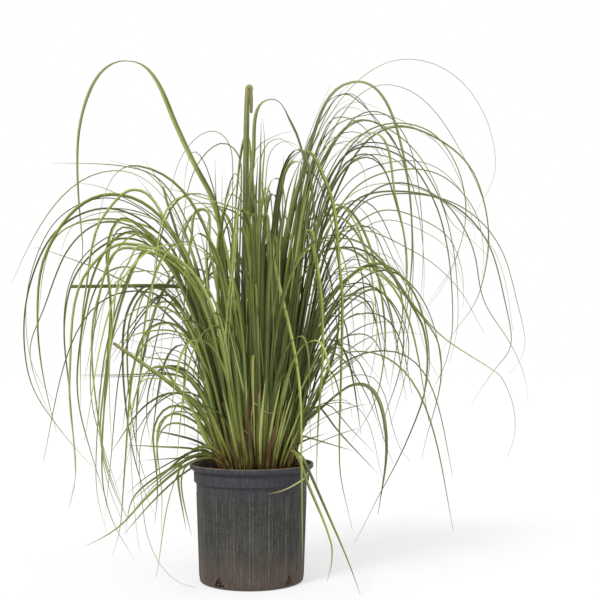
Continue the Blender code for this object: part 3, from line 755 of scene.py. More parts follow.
leaves = (
    # left side
    Leaf(177, 20, 168, 2, 11, ((65, 608, 5), (80, 705, 14), (118, 784, 28), (158, 868, 24),
         (255, 993, 90), (343, 880, 168), (349, 770, 182), (338, 640, 186), (345, 572, 175)), -75,
         unroll=-0.55, span=(0.56, 0.72)),
    Leaf(165, 37, 164, 8, 6, ((150, 660, 22), (302, 792, 91), (524, 572, 155)), 15, tone=0.65,
         unroll=1.0),
    Leaf(182, 34, 190, 6, 9, ((130, 600, 22), (278, 731, 92), (396, 627, 155), (415, 500, 180),
         (379, 284, 196)), 45, unroll=0.9),
    Leaf(202, 48, 211, 10, 8, ((250, 622, 88), (306, 527, 163), (317, 447, 180), (300, 276, 188),
         (255, 137, 203)), 40, tone=0.72, unroll=1.2),
    Leaf(190, 42, 196, 7, 8, ((165, 661, 33), (231, 735, 90), (281, 696, 140), (321, 548, 170),
         (330, 332, 181)), 40, tone=0.75, unroll=1.2),
    Leaf(196, 47, 203, 9, 8, ((250, 632, 90), (312, 590, 140), (349, 440, 178), (351, 350, 182),
         (340, 220, 180), (352, 153, 170)), 45, tone=0.75, unroll=1.3),
    Leaf(209, 46, 223, 9, 8, ((238, 622, 88), (264, 588, 140), (291, 472, 172), (293, 269, 182)), 40,
         tone=0.8, unroll=1.2),
    Leaf(186, 47, 180, 10, 9, ((115, 505, 22), (150, 557, 88), (351, 556, 90)), 60, 0, 0.6, tone=0.2,
         unroll=0.9),
    Leaf(191, 67, 186, 14, 7, ((139, 474, 48), (232, 553, 58), (413, 627, 72)), 60, tone=0.35),
    Leaf(215, 67, 222, 22, 8, ((215, 408, 92), (262, 349, 165), (270, 270, 181), (254, 87, 190))),
    Leaf(198, 67, 196, 20, 9, ((131, 344, 48), (273, 450, 55)), 70, 0, 0.7, unroll=0.9),
    Leaf(183, 68, 181, 30, 8, ((108, 247, 90), (188, 193, 128), (240, 150, 130)), 60, tone=0.5),
    Leaf(203, 69, 205, 30, 8, ((112, 241, 88), (187, 203, 122), (240, 153, 132)), 65, tone=0.45),
    Leaf(218, 69, 229, 24, 9, ((135, 262, 88), (183, 222, 150), (229, 39, 172)), 50),
    Leaf(206, 68, 214, 30, 6, ((168, 360, 88), (238, 280, 165), (240, 147, 183), (146, 9, 258)), 40, 15),
    Leaf(162, 33, 152, 7, 8, ((152, 608, 20), (176, 683, 17), (199, 757, 12)), 75, 0, 0.6, tone=0.2,
         unroll=0.9),
    Leaf(174, 21, 140, 3, 9, ((96, 640, 8), (112, 708, 90), (132, 650, 170), (150, 446, 176)), 40,
         tone=0.8, unroll=1.4),
    # right side
    Leaf(4, 22, 16, 2, 5, ((150, 905, 35), (296, 998, 92), (462, 806, 176), (412, 692, 216)), 20, unroll=0.6),
    Leaf(355, 22, 3, 2, 12, ((98, 819, 18), (178, 943, 80), (270, 828, 166), (292, 623, 181),
         (284, 530, 187), (269, 380, 184)), 65, tone=0.4),
    Leaf(344, 30, 336, 3, 8, ((90, 770, 19), (172, 912, 88), (242, 843, 132), (280, 775, 158)), 50,
         tone=0.35),
    Leaf(339, 38, 329, 4, 10, ((140, 755, 28), (222, 833, 90), (272, 717, 167), (294, 604, 178),
         (288, 460, 184)), 45),
    Leaf(18, 28, 28, 4, 5, ((150, 860, 30), (273, 965, 90), (449, 809, 150), (491, 694, 177),
         (472, 558, 197)), 15, tone=0.4, unroll=1.0),
    Leaf(9, 40, 12, 5, 5, ((145, 780, 35), (281, 874, 90), (385, 799, 152), (412, 721, 176),
         (397, 633, 195), (332, 518, 222)), 18, tone=0.35, unroll=1.0),
    Leaf(0, 46, 4, 6, 5, ((100, 600, 14), (242, 755, 88), (423, 663, 135), (485, 474, 172)), 22,
         unroll=1.0),
    Leaf(347, 48, 340, 8, 7, ((185, 660, 88), (307, 612, 118), (372, 557, 138), (424, 468, 150)), 40,
         tone=0.35),
    Leaf(351, 50, 349, 16, 9, ((140, 690, 90), (228, 590, 140), (297, 518, 140), (356, 455, 127),
         (446, 396, 125), (468, 360, 155), (480, 300, 178), (466, 240, 200)), 45),
    Leaf(331, 48, 322, 10, 7, ((175, 640, 88), (346, 486, 138), (370, 446, 166), (375, 403, 180),
         (352, 300, 196), (340, 251, 188)), 45, tone=0.35),
    Leaf(335, 62, 330, 15, 7, ((180, 625, 90), (323, 494, 148), (338, 440, 172), (337, 385, 184),
         (308, 292, 203), (253, 185, 210), (200, 88, 212)), 40, tone=0.35),
    Leaf(325, 66, 325, 24, 10, ((104, 300, 50), (147, 333, 52), (196, 368, 60), (225, 377, 88),
         (283, 284, 176), (262, 148, 190)), 55, tone=0.35),
    Leaf(312, 47, 306, 8, 9, ((122, 591, 8), (148, 652, 88), (166, 610, 166), (181, 543, 171),
         (188, 455, 178), (175, 313, 186), (167, 197, 181)), 45),
    Leaf(318, 30, 318, 2, 9, ((50, 718, 10), (112, 802, 88), (168, 741, 150), (198, 606, 175),
         (207, 520, 180), (203, 300, 181), (204, 240, 178), (235, 124, 165)), 40, tone=0.5),
    Leaf(351, 14, 204, 0, 10, ((-8, 800, 6), (28, 912, 90), (65, 866, 150), (100, 752, 165),
         (116, 600, 176)), 75, tone=0.48, unroll=-0.75, span=(0.64, 0.75)),
    Leaf(325, 69, 318, 20, 6, ((92, 249, 90), (125, 214, 150), (235, 6, 152)), 40, tone=0.35),
    Leaf(311, 69, 309, 20, 6, ((98, 254, 90), (140, 206, 150), (211, 101, 155), (213, 71, 185),
         (198, 32, 205)), 40),
    Leaf(299, 22, 304, 0, 7, ((25, 600, 3), (42, 640, 90), (62, 595, 156), (150, 410, 160),
         (169, 310, 177), (177, 70, 181)), 40, tone=0.6),
    # middle: the erect leaf that broke off, its tip folded over
    Leaf(0, 31, 183, 0, 13, ((-24, 650, 1), (-20, 932, 2), (-16, 938, 100), (-14, 926, 172),
         (-13, 888, 184)), 90, 0, 0.66, tone=0.42, dry=0.1, unroll=0.3, span=(0.88, 1.0)),
    # back
    Leaf(60, 18, 62, 4, 9, ((60, 620, 12), (160, 820, 90), (340, 540, 166))),
    Leaf(82, 46, 80, 8, 8, ((190, 760, 90), (340, 560, 160), (372, 280, 180)), 40, tone=0.35),
    Leaf(100, 24, 104, 3, 9, ((70, 700, 12), (180, 880, 90), (400, 600, 158))),
    Leaf(118, 47, 114, 17, 8, ((200, 600, 88), (370, 440, 166), (385, 240, 182)), 40),
    Leaf(140, 47, 140, 12, 9, ((180, 600, 88), (330, 400, 164), (350, 190, 180)), 40, tone=0.35),
    # front, where few leaves hang
    Leaf(258, 46, 254, 15, 9, ((110, 690, 86), (190, 560, 155), (225, 430, 168)), 35),
    Leaf(274, 20, 270, 2, 10, ((52, 700, 12), (92, 850, 30)), 30),
    Leaf(241, 51, 240, 26, 8, ((140, 480, 86), (230, 410, 156), (262, 250, 172)), 40, tone=0.5),
    Leaf(269, 52, 268, 27, 8, ((106, 430, 88), (160, 345, 160), (173, 268, 174)), 35),
)


def slotOf(tone):
    if tone < 0.45:
        return "leaf_dark"
    return "leaf_pale" if tone > 0.7 else "leaf_green"


def makeLeaves():
    print("arching leaves")
    dice = random.Random(blade["seed"])
    for number, leaf in enumerate(leaves, 1):
        bm = bmesh.new()
        line = leafLine(leaf, dice)
        addBlade(bm, line, leaf.width, leaf.tone + dice.uniform(-0.08, 0.08), leaf.dry, leaf.left)
        finishBlades("arching_leaf_%02d" % number, bm, slotOf(leaf.tone), ("leaf_%02d" % number,))


# Shoots

# younger: how many thinner blades stand among a shoot's own
Ring = namedtuple("Ring", "foot headings lean stem out up fall younger")

rings = (
    Ring(58, (22, 68, 113, 156, 204), 17, (90, 130), (180, 290), (430, 640), (120, 330), 4),
    Ring(58, (248, 284), 17, (90, 130), (180, 290), (430, 640), (70, 150), 4),
    Ring(58, (346,), 17, (90, 130), (180, 290), (430, 640), (120, 330), 4),
    Ring(32, (50, 126, 230, 281), 8, (140, 190), (150, 290), (600, 790), (150, 350), 2),
    Ring(9, (90,), 0, (190, 210), (90, 150), (720, 800), (120, 200), 1),
)

shoot = {
    "stems": 4, "stemWidth": 6.4, "spread": 10.0, "roll": 35.0, "reach": 0.55, "tipLean": 168.0,
    "youngTipLean": (118.0, 176.0), "frontFall": 0.4, "widths": (7.5, 10.0), "seed": 7, "lookSeed": 31,
}


def shootLine(plane, heading, footOut, ring, stem, knots, roll, dice):
    # A straight stretch of sheath, then the arch.
    lean = math.radians(ring.lean)
    top = (footOut + stem * math.sin(lean), crown["soilTop"] + stem * math.cos(lean), ring.lean)
    points = profilePoints((footOut, crown["soilTop"], ring.lean), (top,) + knots)
    return wanderingLine(points, plane, heading, 0.0, 0.0, roll, dice)


def makeShoots():
    print("shoots")
    dice = random.Random(shoot["seed"])
    lookDice = random.Random(shoot["lookSeed"])
    middle = Vector((crown["x"], crown["y"], 0.0))
    number = 0
    for ring in rings:
        for heading in ring.headings:
            number += 1
            bm = bmesh.new()
            across = turn(heading + 90.0)
            stem = dice.uniform(*ring.stem)
            for index in range(shoot["stems"]):
                offset = index - (shoot["stems"] - 1) / 2.0
                bladeHeading = heading + offset * shoot["spread"]
                foot = turn(heading) * ring.foot + across * offset * shoot["stemWidth"]
                ahead = turn(bladeHeading)
                beside = turn(bladeHeading + 90.0)
                out = dice.uniform(*ring.out)
                up = dice.uniform(*ring.up)
                fall = dice.uniform(*ring.fall)
                roll = dice.choice((-shoot["roll"], shoot["roll"]))
                width = dice.uniform(*shoot["widths"])
                knots = ((out, up, 90.0), (out + fall * shoot["reach"], up - fall, shoot["tipLean"]))
                plane = middle + beside * foot.dot(beside)
                line = shootLine(plane, bladeHeading, foot.dot(ahead), ring, stem, knots, roll, lookDice)
                tone = lookDice.uniform(0.05, 0.80)
                addBlade(bm, line, width, tone, lookDice.choice((0.0, 0.0, 0.0, 0.08)),
                         widestAt=0.2, taper=1.8)
            for _ in range(ring.younger):
                share = lookDice.uniform(-0.5, 0.5)
                bladeHeading = heading + share * shoot["spread"] * 5.0
                ahead = turn(bladeHeading)
                beside = turn(bladeHeading + 90.0)
                foot = turn(heading) * (ring.foot + lookDice.uniform(-7.0, 7.0))
                foot += across * share * shoot["stemWidth"] * shoot["stems"]
                out = lookDice.uniform(*ring.out) * lookDice.uniform(0.6, 1.0)
                up = lookDice.uniform(*ring.up) * lookDice.uniform(0.72, 1.0)
                fall = lookDice.uniform(*ring.fall) * lookDice.uniform(0.3, 0.9)
                fall *= shoot["frontFall"] if ahead.y < -0.5 else 1.0
                tipLean = lookDice.uniform(*shoot["youngTipLean"])
                knots = ((out, up, 90.0), (out + fall * shoot["reach"], up - fall, tipLean))
                plane = middle + beside * foot.dot(beside)
                stretch = stem * lookDice.uniform(0.6, 1.0)
                roll = lookDice.uniform(-60.0, 60.0)
                line = shootLine(plane, bladeHeading, foot.dot(ahead), ring, stretch, knots, roll, lookDice)
                tone = lookDice.uniform(0.0, 0.8)
                addBlade(bm, line, lookDice.uniform(5.0, 8.5), tone, lookDice.choice((0.0, 0.0, 0.0, 0.1)),
                         widestAt=0.2, taper=1.8)
            finishBlades("leafy_shoot_%02d" % number, bm, "shoot_green", ("shoot_%02d" % number,))


# Traced blades

# width: across the blade, in millimetres; tone and dry as for a leaf
# pixels: where the photograph shows the blade, in its 600 by 600 frame, from the clump to the tip
Trace = namedtuple("Trace", "width pixels tone dry", defaults=(0.5, 0.1))

tracing = {
    "fanDepth": 275.0, "footReach": 58.0, "step": 15.0, "smoothing": 2, "seed": 41,
    "roll": (50.0, 100.0), "siblingDrift": 15.0, "siblingWidth": (0.5, 0.85),
    "turnedBy": (62.0, 118.0), "turnedShare": 0.5, "turnedReach": 375.0, "turnedTop": 790.0,
    "potClear": 135.0, "frontLow": 340.0,
}

# Each group's blades are painted paler by a set amount, standing in for the light that falls on them.
tracedGroups = (
    {"name": "crown_stems", "slot": "leaf_pale", "depth": (-66.0, -52.0), "headings": (-4.0, 4.0),
     "widen": 1.0, "widestAt": 0.50, "taper": 3.0, "siblings": 0.0, "paintedLightLift": 0.0, "tilt": 19.0,
     "traces": (
        Trace(6, ((260, 466), (260, 440), (261, 412), (264, 380)), 0.85, -0.3),
        Trace(5, ((264, 466), (265, 442), (267, 420), (268, 395)), 0.72, -0.3),
        Trace(5, ((268, 466), (269, 440), (273, 412), (279, 380)), 0.78, -0.3),
        Trace(4, ((273, 466), (276, 446), (280, 428), (286, 400)), 0.55, -0.3),
        Trace(5, ((276, 465), (280, 442), (286, 418), (295, 390)), 0.80, -0.3),
        Trace(4, ((280, 464), (286, 446), (293, 428), (303, 403)), 0.65, -0.3),
        Trace(4, ((284, 463), (290, 448), (298, 430)), 0.75, -0.3),
        Trace(5, ((253, 466), (251, 445), (249, 425), (247, 380)), 0.70, -0.3),
        Trace(4, ((249, 466), (246, 446), (243, 428), (239, 400)), 0.50, -0.3),
        Trace(5, ((247, 464), (246, 440), (248, 420), (251, 395)), 0.30, 1.50),
        Trace(6, ((257, 464), (257, 420), (258, 385), (257, 340)), 0.30, 1.30),
        Trace(4, ((271, 466), (274, 445), (281, 425)), 0.30, 1.60),
        Trace(5, ((240, 465), (236, 445), (231, 420), (224, 390)), 0.75, -0.3),
        Trace(5, ((232, 464), (226, 448), (217, 428), (204, 400)), 0.60, -0.3),
        Trace(4, ((236, 465), (230, 446), (222, 424)), 0.30, 1.40),
        Trace(3, ((250, 440), (252, 400), (257, 408), (264, 412), (273, 414), (288, 411)), 0.80, 0.55),
        Trace(3, ((246, 450), (241, 430), (246, 431), (250, 436), (254, 441)), 0.80, 0.60),
        Trace(3, ((272, 440), (276, 424), (283, 417), (290, 412)), 0.80, 0.70),
    )},
    {"name": "crown_blades", "slot": "leaf_green", "depth": (-34.0, 20.0), "headings": (-14.0, 14.0),
     "widen": 1.1, "widestAt": 0.45, "taper": 3.6, "siblings": 0.35, "paintedLightLift": 0.08, "tilt": 0.0,
     "traces": (
        Trace(10, ((236, 450), (229, 415), (222, 380), (208, 340), (200, 310), (195, 262), (186, 235),
                   (175, 223)), 0.72),
        Trace(7, ((250, 430), (244, 340), (238, 295), (230, 270), (224, 240), (214, 210), (205, 192)), 0.5),
        Trace(6, ((226, 400), (219, 320), (217, 250), (220, 222), (226, 200), (234, 176)), 0.4),
        Trace(6, ((241, 430), (239, 380), (238, 320), (237, 260), (238, 216), (241, 195)), 0.02),
        Trace(6, ((254, 420), (254, 330), (254, 270), (255, 230), (256, 200), (258, 156)), 0.1),
        Trace(6, ((262, 420), (266, 340), (268, 258), (266, 230), (259, 205), (248, 182)), 0.5),
        Trace(10, ((259, 450), (263, 380), (266, 300), (270, 245), (279, 205), (287, 167), (300, 152)), 0.12),
        Trace(8, ((268, 440), (267, 360), (273, 300), (281, 240), (289, 188), (302, 157)), 0.15),
        Trace(7, ((272, 440), (277, 365), (284, 295), (291, 245), (299, 200), (309, 160)), 0.3),
        Trace(13, ((271, 462), (279, 420), (286, 360), (290, 300), (296, 250), (303, 205), (314, 160),
                   (324, 132)), 0.14),
        Trace(7, ((284, 420), (292, 350), (297, 290), (300, 240), (306, 200), (320, 160)), 0.45),
        Trace(7, ((290, 420), (296, 340), (300, 270), (303, 245), (308, 230), (313, 243), (314, 290)), 0.75),
        Trace(10, ((270, 440), (273, 360), (280, 270), (288, 225), (297, 190), (309, 165)), 0.5),
        Trace(11, ((278, 440), (285, 350), (291, 275), (298, 230), (305, 190), (311, 158)), 0.4),
        Trace(4, ((256, 420), (258, 350), (263, 305), (268, 290), (275, 300), (282, 322), (286, 350),
                  (288, 382)), 0.92),
        Trace(11, ((285, 452), (289, 420), (299, 372), (311, 348), (328, 315), (350, 275)), 0.12),
        Trace(9, ((283, 445), (299, 400), (311, 380), (325, 353), (342, 325)), 0.2),
        Trace(7, ((279, 458), (288, 436), (297, 412), (306, 385), (322, 352)), 0.1),
        Trace(5, ((276, 425), (292, 385), (309, 350), (326, 315), (342, 292)), 0.35),
        Trace(6, ((284, 420), (295, 398), (313, 365), (332, 335)), 0.2),
        Trace(7, ((302, 430), (318, 395), (330, 365), (338, 335), (340, 300)), 0.5),
        Trace(8, ((246, 430), (236, 360), (228, 315), (222, 305), (210, 325), (200, 345), (192, 380)), 0.88),
        Trace(7, ((241, 458), (232, 440), (222, 402), (205, 360), (185, 318), (178, 300)), 0.85),
        Trace(6, ((237, 450), (226, 405), (217, 378), (203, 335), (196, 300)), 0.55),
        Trace(6, ((240, 430), (232, 405), (225, 378), (214, 330), (208, 290)), 0.3),
        Trace(8, ((222, 462), (205, 440), (192, 408), (170, 378), (158, 362)), 0.78),
        Trace(6, ((224, 462), (210, 445), (200, 425), (190, 405), (178, 385)), 0.6),
        Trace(3, ((238, 420), (236, 350), (238, 300), (241, 200), (240, 156), (227, 142), (213, 146),
                  (196, 167), (186, 200), (183, 245)), 0.35),
        Trace(7, ((236, 420), (222, 300), (221, 240), (226, 198), (236, 170), (242, 195)), 0.1),
        Trace(5, ((234, 420), (219, 300), (219, 240), (229, 200), (243, 172)), 0.3),
        Trace(5, ((270, 400), (273, 300), (270, 240), (262, 219), (242, 211), (200, 197), (163, 187)), 0.7),
        Trace(4, ((228, 400), (219, 300), (219, 240), (216, 200), (215, 160)), 0.3),
        Trace(5, ((255, 400), (250, 300), (248, 235), (240, 214), (217, 206), (196, 202), (174, 215)), 0.5),
        Trace(5, ((234, 400), (226, 320), (221, 260), (226, 224), (240, 213), (255, 216), (270, 225)), 0.3),
        Trace(6, ((242, 420), (233, 330), (231, 255), (236, 220), (241, 196)), 0.2),
        Trace(4, ((252, 420), (250, 340), (246, 285), (236, 262), (220, 256), (202, 257), (190, 270)), 0.4),
        Trace(5, ((262, 420), (268, 330), (268, 230), (262, 190), (265, 145), (263, 118)), 0.4),
        Trace(4, ((250, 400), (250, 300), (249, 220), (252, 156), (272, 137), (291, 131)), 0.35),
        Trace(4, ((258, 400), (258, 300), (258, 220), (262, 150), (280, 137), (297, 150)), 0.3),
        Trace(5, ((252, 400), (250, 300), (250, 190), (258, 156)), 0.2),
        Trace(4, ((272, 400), (278, 300), (282, 230), (284, 155)), 0.4),
    )},
    {"name": "upper_right_blades", "slot": "leaf_dark", "depth": (-40.0, 16.0), "headings": (-20.0, 2.0),
     "widen": 0.75, "widestAt": 0.30, "taper": 2.2, "siblings": 0.55, "paintedLightLift": 0.08, "tilt": 0.0,
     "traces": (
        Trace(7, ((272, 430), (284, 330), (296, 240), (305, 170), (320, 128), (335, 98), (352, 82)), 0.3),
        Trace(6, ((276, 430), (288, 330), (298, 220), (306, 150), (320, 122), (342, 92), (363, 105),
                  (391, 138), (414, 180)), 0.25),
        Trace(6, ((278, 430), (290, 320), (305, 190), (331, 118), (348, 118), (368, 130), (390, 180)), 0.35),
        Trace(5, ((280, 430), (292, 320), (306, 185), (328, 132), (355, 117), (392, 116), (440, 145)), 0.3),
        Trace(5, ((282, 430), (294, 320), (310, 185), (328, 142), (352, 130), (376, 142), (395, 172)), 0.2),
        Trace(5, ((280, 420), (294, 320), (312, 190), (329, 148), (350, 140), (376, 148), (392, 170)), 0.4),
        Trace(4, ((276, 420), (290, 300), (308, 180), (335, 115), (357, 101), (386, 112)), 0.3),
        Trace(5, ((284, 420), (298, 320), (312, 220), (328, 163), (355, 143)), 0.15),
        Trace(5, ((286, 420), (300, 320), (318, 220), (340, 168), (358, 157), (366, 175), (368, 200)), 0.2),
        Trace(6, ((286, 420), (302, 310), (322, 215), (345, 168), (367, 156), (385, 170), (401, 220),
                  (407, 250), (408, 295)), 0.1),
        Trace(6, ((282, 420), (296, 310), (312, 190), (348, 126), (380, 124), (403, 160), (412, 220),
                  (413, 280), (407, 340), (404, 374)), 0.35),
        Trace(5, ((284, 420), (298, 300), (315, 180), (355, 120), (405, 140), (434, 180), (449, 220),
                  (472, 240), (494, 262)), 0.4),
        Trace(6, ((288, 420), (304, 310), (320, 200), (355, 148), (405, 158), (434, 200), (447, 245),
                  (452, 290), (452, 335), (443, 370), (421, 407)), 0.15),
        Trace(4, ((288, 420), (304, 320), (320, 215), (355, 158), (400, 162), (417, 205), (424, 262),
                  (423, 312)), 0.35),
        Trace(5, ((290, 420), (306, 330), (325, 240), (357, 186), (405, 169), (445, 177), (475, 210),
                  (484, 250), (482, 278)), 0.3),
        Trace(6, ((292, 420), (308, 330), (328, 245), (360, 197), (420, 193), (462, 211), (490, 246),
                  (505, 300), (512, 346), (494, 370), (471, 405)), 0.25),
        Trace(5, ((286, 420), (302, 320), (322, 225), (348, 150), (385, 124), (430, 131), (458, 168),
                  (466, 217), (453, 265), (427, 305)), 0.3),
        Trace(6, ((288, 420), (304, 320), (326, 220), (360, 148), (398, 126), (440, 140), (474, 173),
                  (489, 235), (478, 297), (455, 330), (441, 352)), 0.3),
        Trace(5, ((292, 420), (310, 330), (335, 248), (380, 210), (421, 219), (450, 238), (463, 275),
                  (463, 308)), 0.3),
        Trace(5, ((290, 420), (308, 330), (332, 240), (385, 184), (440, 198), (472, 245), (483, 300),
                  (509, 341), (524, 374), (528, 402)), 0.35),
        Trace(7, ((278, 430), (290, 320), (304, 215), (318, 165), (330, 140), (341, 118)), 0.1),
        Trace(7, ((274, 440), (286, 330), (300, 230), (309, 180), (318, 150)), 0.5),
    )},
    {"name": "right_blades", "slot": "leaf_green", "depth": (-48.0, 20.0), "headings": (-26.0, 10.0),
     "widen": 0.85, "widestAt": 0.35, "taper": 2.6, "siblings": 0.8, "paintedLightLift": 0.10, "tilt": 0.0,
     "traces": (
        Trace(7, ((285, 400), (302, 300), (320, 236), (341, 205), (358, 220), (373, 255), (383, 305),
                  (385, 350), (375, 402), (351, 442)), 0.5),
        Trace(6, ((287, 400), (303, 300), (322, 250), (343, 232), (358, 258), (365, 298), (364, 345)), 0.4),
        Trace(5, ((288, 400), (305, 295), (325, 235), (350, 200), (374, 206), (392, 240), (407, 275)), 0.1),
        Trace(4, ((292, 400), (315, 285), (340, 232), (370, 227), (390, 268), (413, 305), (424, 325)), 0.3),
        Trace(4, ((296, 400), (318, 305), (343, 262), (368, 262), (396, 290)), 0.2),
        Trace(4, ((296, 410), (315, 335), (344, 300), (372, 288), (397, 282)), 0.3),
        Trace(4, ((296, 420), (320, 365), (348, 335), (375, 322), (408, 323)), 0.3),
        Trace(6, ((292, 410), (318, 315), (360, 268), (390, 272), (404, 305), (397, 347), (390, 392)), 0.35),
        Trace(5, ((294, 410), (322, 330), (370, 285), (402, 325), (400, 370), (384, 420), (383, 447)), 0.3),
        Trace(5, ((290, 430), (305, 385), (325, 352), (340, 355), (365, 392), (379, 427)), 0.15),
        Trace(5, ((288, 445), (303, 418), (318, 405), (335, 428), (362, 458), (378, 474)), 0.25),
        Trace(5, ((280, 446), (292, 434), (320, 441), (354, 451)), 0.6),
        Trace(5, ((284, 452), (297, 443), (320, 435)), 0.1),
        Trace(7, ((283, 444), (293, 444), (301, 456), (309, 470)), 0.15),
        Trace(5, ((290, 410), (308, 330), (326, 280), (345, 240)), 0.1),
        Trace(5, ((292, 420), (312, 335), (331, 294), (352, 268)), 0.1),
        Trace(4, ((294, 400), (312, 325), (335, 280), (362, 269), (378, 272)), 0.2),
        Trace(7, ((290, 420), (308, 345), (340, 285), (376, 262), (406, 280), (424, 318), (430, 365),
                  (424, 396)), 0.3),
        Trace(5, ((292, 430), (310, 370), (340, 320), (372, 300), (372, 345)), 0.3),
        Trace(4, ((292, 440), (310, 400), (335, 375), (362, 356), (374, 342)), 0.4),
    )},
    {"name": "left_blades", "slot": "leaf_green", "depth": (-42.0, 30.0), "headings": (-24.0, 24.0),
     "widen": 1.05, "widestAt": 0.30, "taper": 2.8, "siblings": 0.85, "paintedLightLift": 0.10, "tilt": 0.0,
     "traces": (
        Trace(4, ((232, 430), (212, 310), (190, 230), (160, 180), (120, 166), (52, 163)), 0.4, 0.2),
        Trace(5, ((230, 430), (210, 320), (188, 240), (163, 187), (145, 160)), 0.4),
        Trace(4, ((230, 430), (208, 330), (180, 240), (112, 191), (74, 182)), 0.4),
        Trace(5, ((228, 430), (205, 330), (170, 245), (133, 222), (88, 220), (56, 236), (44, 270),
                  (40, 312)), 0.5, 0.2),
        Trace(4, ((230, 430), (206, 325), (175, 240), (140, 212), (92, 209), (60, 224)), 0.35),
        Trace(6, ((226, 430), (202, 340), (170, 262), (133, 222), (113, 210)), 0.1),
        Trace(4, ((226, 430), (200, 330), (160, 248), (110, 221), (70, 247), (44, 310), (30, 350),
                  (40, 392), (52, 417)), 0.35, 0.2),
        Trace(6, ((226, 430), (200, 330), (165, 252), (122, 217), (107, 250), (111, 305), (107, 365),
                  (100, 430), (108, 475), (126, 518)), 0.5),
        Trace(5, ((226, 430), (205, 350), (175, 275), (150, 245), (132, 272), (114, 330), (106, 385),
                  (102, 475), (113, 522), (134, 558)), 0.45),
        Trace(5, ((226, 430), (203, 360), (178, 300), (162, 294), (137, 322), (112, 363)), 0.1),
        Trace(5, ((226, 430), (205, 365), (178, 305), (148, 284), (126, 315), (123, 375), (131, 445),
                  (144, 492), (155, 516)), 0.15),
        Trace(4, ((224, 440), (208, 390), (185, 363), (148, 358), (124, 350)), 0.3),
        Trace(5, ((224, 445), (205, 408), (175, 392), (142, 408), (112, 452)), 0.1),
        Trace(4, ((222, 440), (205, 395), (175, 374), (130, 375), (80, 375)), 0.3),
        Trace(4, ((222, 440), (203, 392), (175, 366), (153, 374), (146, 412), (150, 440)), 0.15),
        Trace(5, ((220, 445), (200, 415), (170, 405), (153, 428), (157.5, 485), (155, 525)), 0.4),
        Trace(5, ((218, 452), (200, 425), (172, 412), (158, 424), (157, 462)), 0.5),
        Trace(5, ((220, 458), (204, 452), (180, 463), (148, 483), (131, 500), (125, 528)), 0.35),
        Trace(5, ((222, 460), (204, 457), (178, 470), (147, 497), (118, 528), (85, 546)), 0.5),
        Trace(5, ((220, 458), (196, 454), (180, 464), (178, 485), (187, 530)), 0.5),
        Trace(6, ((222, 458), (200, 442), (172, 434), (150, 430)), 0.08),
        Trace(4, ((222, 460), (196, 449), (160, 447), (128, 445)), 0.4),
        Trace(5, ((228, 430), (200, 330), (160, 248), (125, 232), (95, 270), (80, 345), (78, 398),
                  (90, 449), (108, 505)), 0.4),
        Trace(4, ((228, 430), (202, 335), (165, 258), (120, 238), (78, 270), (64, 325), (70, 400),
                  (75, 478), (68, 509)), 0.3, 0.2),
        Trace(4, ((230, 430), (205, 320), (165, 240), (110, 208), (55, 232), (26, 300), (28, 376),
                  (58, 428), (99, 475)), 0.2, 0.2),
        Trace(5, ((224, 440), (205, 370), (178, 325), (150, 327), (133, 370), (125, 465), (120, 530),
                  (112, 555)), 0.4),
        Trace(5, ((226, 436), (210, 375), (185, 335), (160, 330), (130, 336), (112, 350)), 0.5),
        Trace(6, ((226, 436), (208, 360), (182, 310), (160, 300), (150, 325), (145, 360)), 0.6),
    )},
)


def pixelPoint(pixel, foot, heading, tilt):
    # Where the line of sight through a pixel meets a blade's plane, in millimetres.
    eye = Vector(cameraSettings["place"]) / mm
    middle = cameraSettings["frameSize"] / 2.0
    sight = Vector(((pixel[0] - middle) / cameraSettings["focalPixels"], 1.0,
                    (cameraSettings["horizonRow"] - pixel[1]) / cameraSettings["focalPixels"]))
    facing = turn(heading + 90.0) + Vector((0.0, 0.0, math.tan(math.radians(tilt))))
    foot = foot + Vector((0.0, 0.0, crown["soilTop"]))
    return eye + sight * ((foot - eye).dot(facing) / sight.dot(facing))


def throughCurve(corners, step):
    # A smooth curve through its corners, with points about a step apart.
    ends = [corners[0] * 2 - corners[1]] + corners + [corners[-1] * 2 - corners[-2]]
    points = [corners[0]]
    for before, here, there, after in zip(ends, ends[1:], ends[2:], ends[3:]):
        cuts = max(2, round((there - here).length / step))
        for cut in range(1, cuts + 1):
            t = cut / cuts
            points.append(0.5 * (here * 2 + (there - before) * t
                                 + (before * 2 - here * 5 + there * 4 - after) * t * t
                                 + (here * 3 - before - there * 3 + after) * t ** 3))
    for _ in range(tracing["smoothing"]):
        inner = [(a + b * 2 + c) / 4 for a, b, c in zip(points, points[1:], points[2:])]
        points = [points[0]] + inner + [points[-1]]
    return points


def tracedPoints(pixels, foot, heading, tilt):
    # Out from the crown's axis and up from the floor, starting at the blade's foot in the soil.
    ahead = turn(heading)
    places = [pixelPoint(pixel, foot, heading, tilt) for pixel in pixels]
    corners = [Vector(((place - foot).dot(ahead), place.z)) for place in places]
    rise = corners[0].y - crown["soilTop"] + tracing["fanDepth"]
    out = corners[0].x * tracing["fanDepth"] / rise
    out = min(max(out, -tracing["footReach"]), tracing["footReach"])
    return throughCurve([Vector((out, crown["soilTop"] - 2.0))] + corners, tracing["step"])


def driftedPixels(pixels, dice):
    # A neighbour's path: the same foot, drawing away towards the tip, and often shorter.
    drift = Vector((dice.uniform(-1.0, 1.0), dice.uniform(-1.0, 1.0))) * tracing["siblingDrift"]
    result = []
    for index, pixel in enumerate(pixels):
        result.append(Vector(pixel) + drift * (0.35 + index / len(pixels)))
    return result[:-1] if len(result) > 5 and dice.random() < 0.6 else result


def turnsFreely(points):
    # Whether a blade may be turned about the crown: clear of the pot, and not too far out.
    clear = all(abs(point.x) > tracing["potClear"] or point.y > pot["height"] + 8.0
                for point in points[len(points) // 3:])
    low = max(point.y for point in points) < tracing["turnedTop"]
    return clear and low and max(abs(point.x) for point in points) < tracing["turnedReach"]


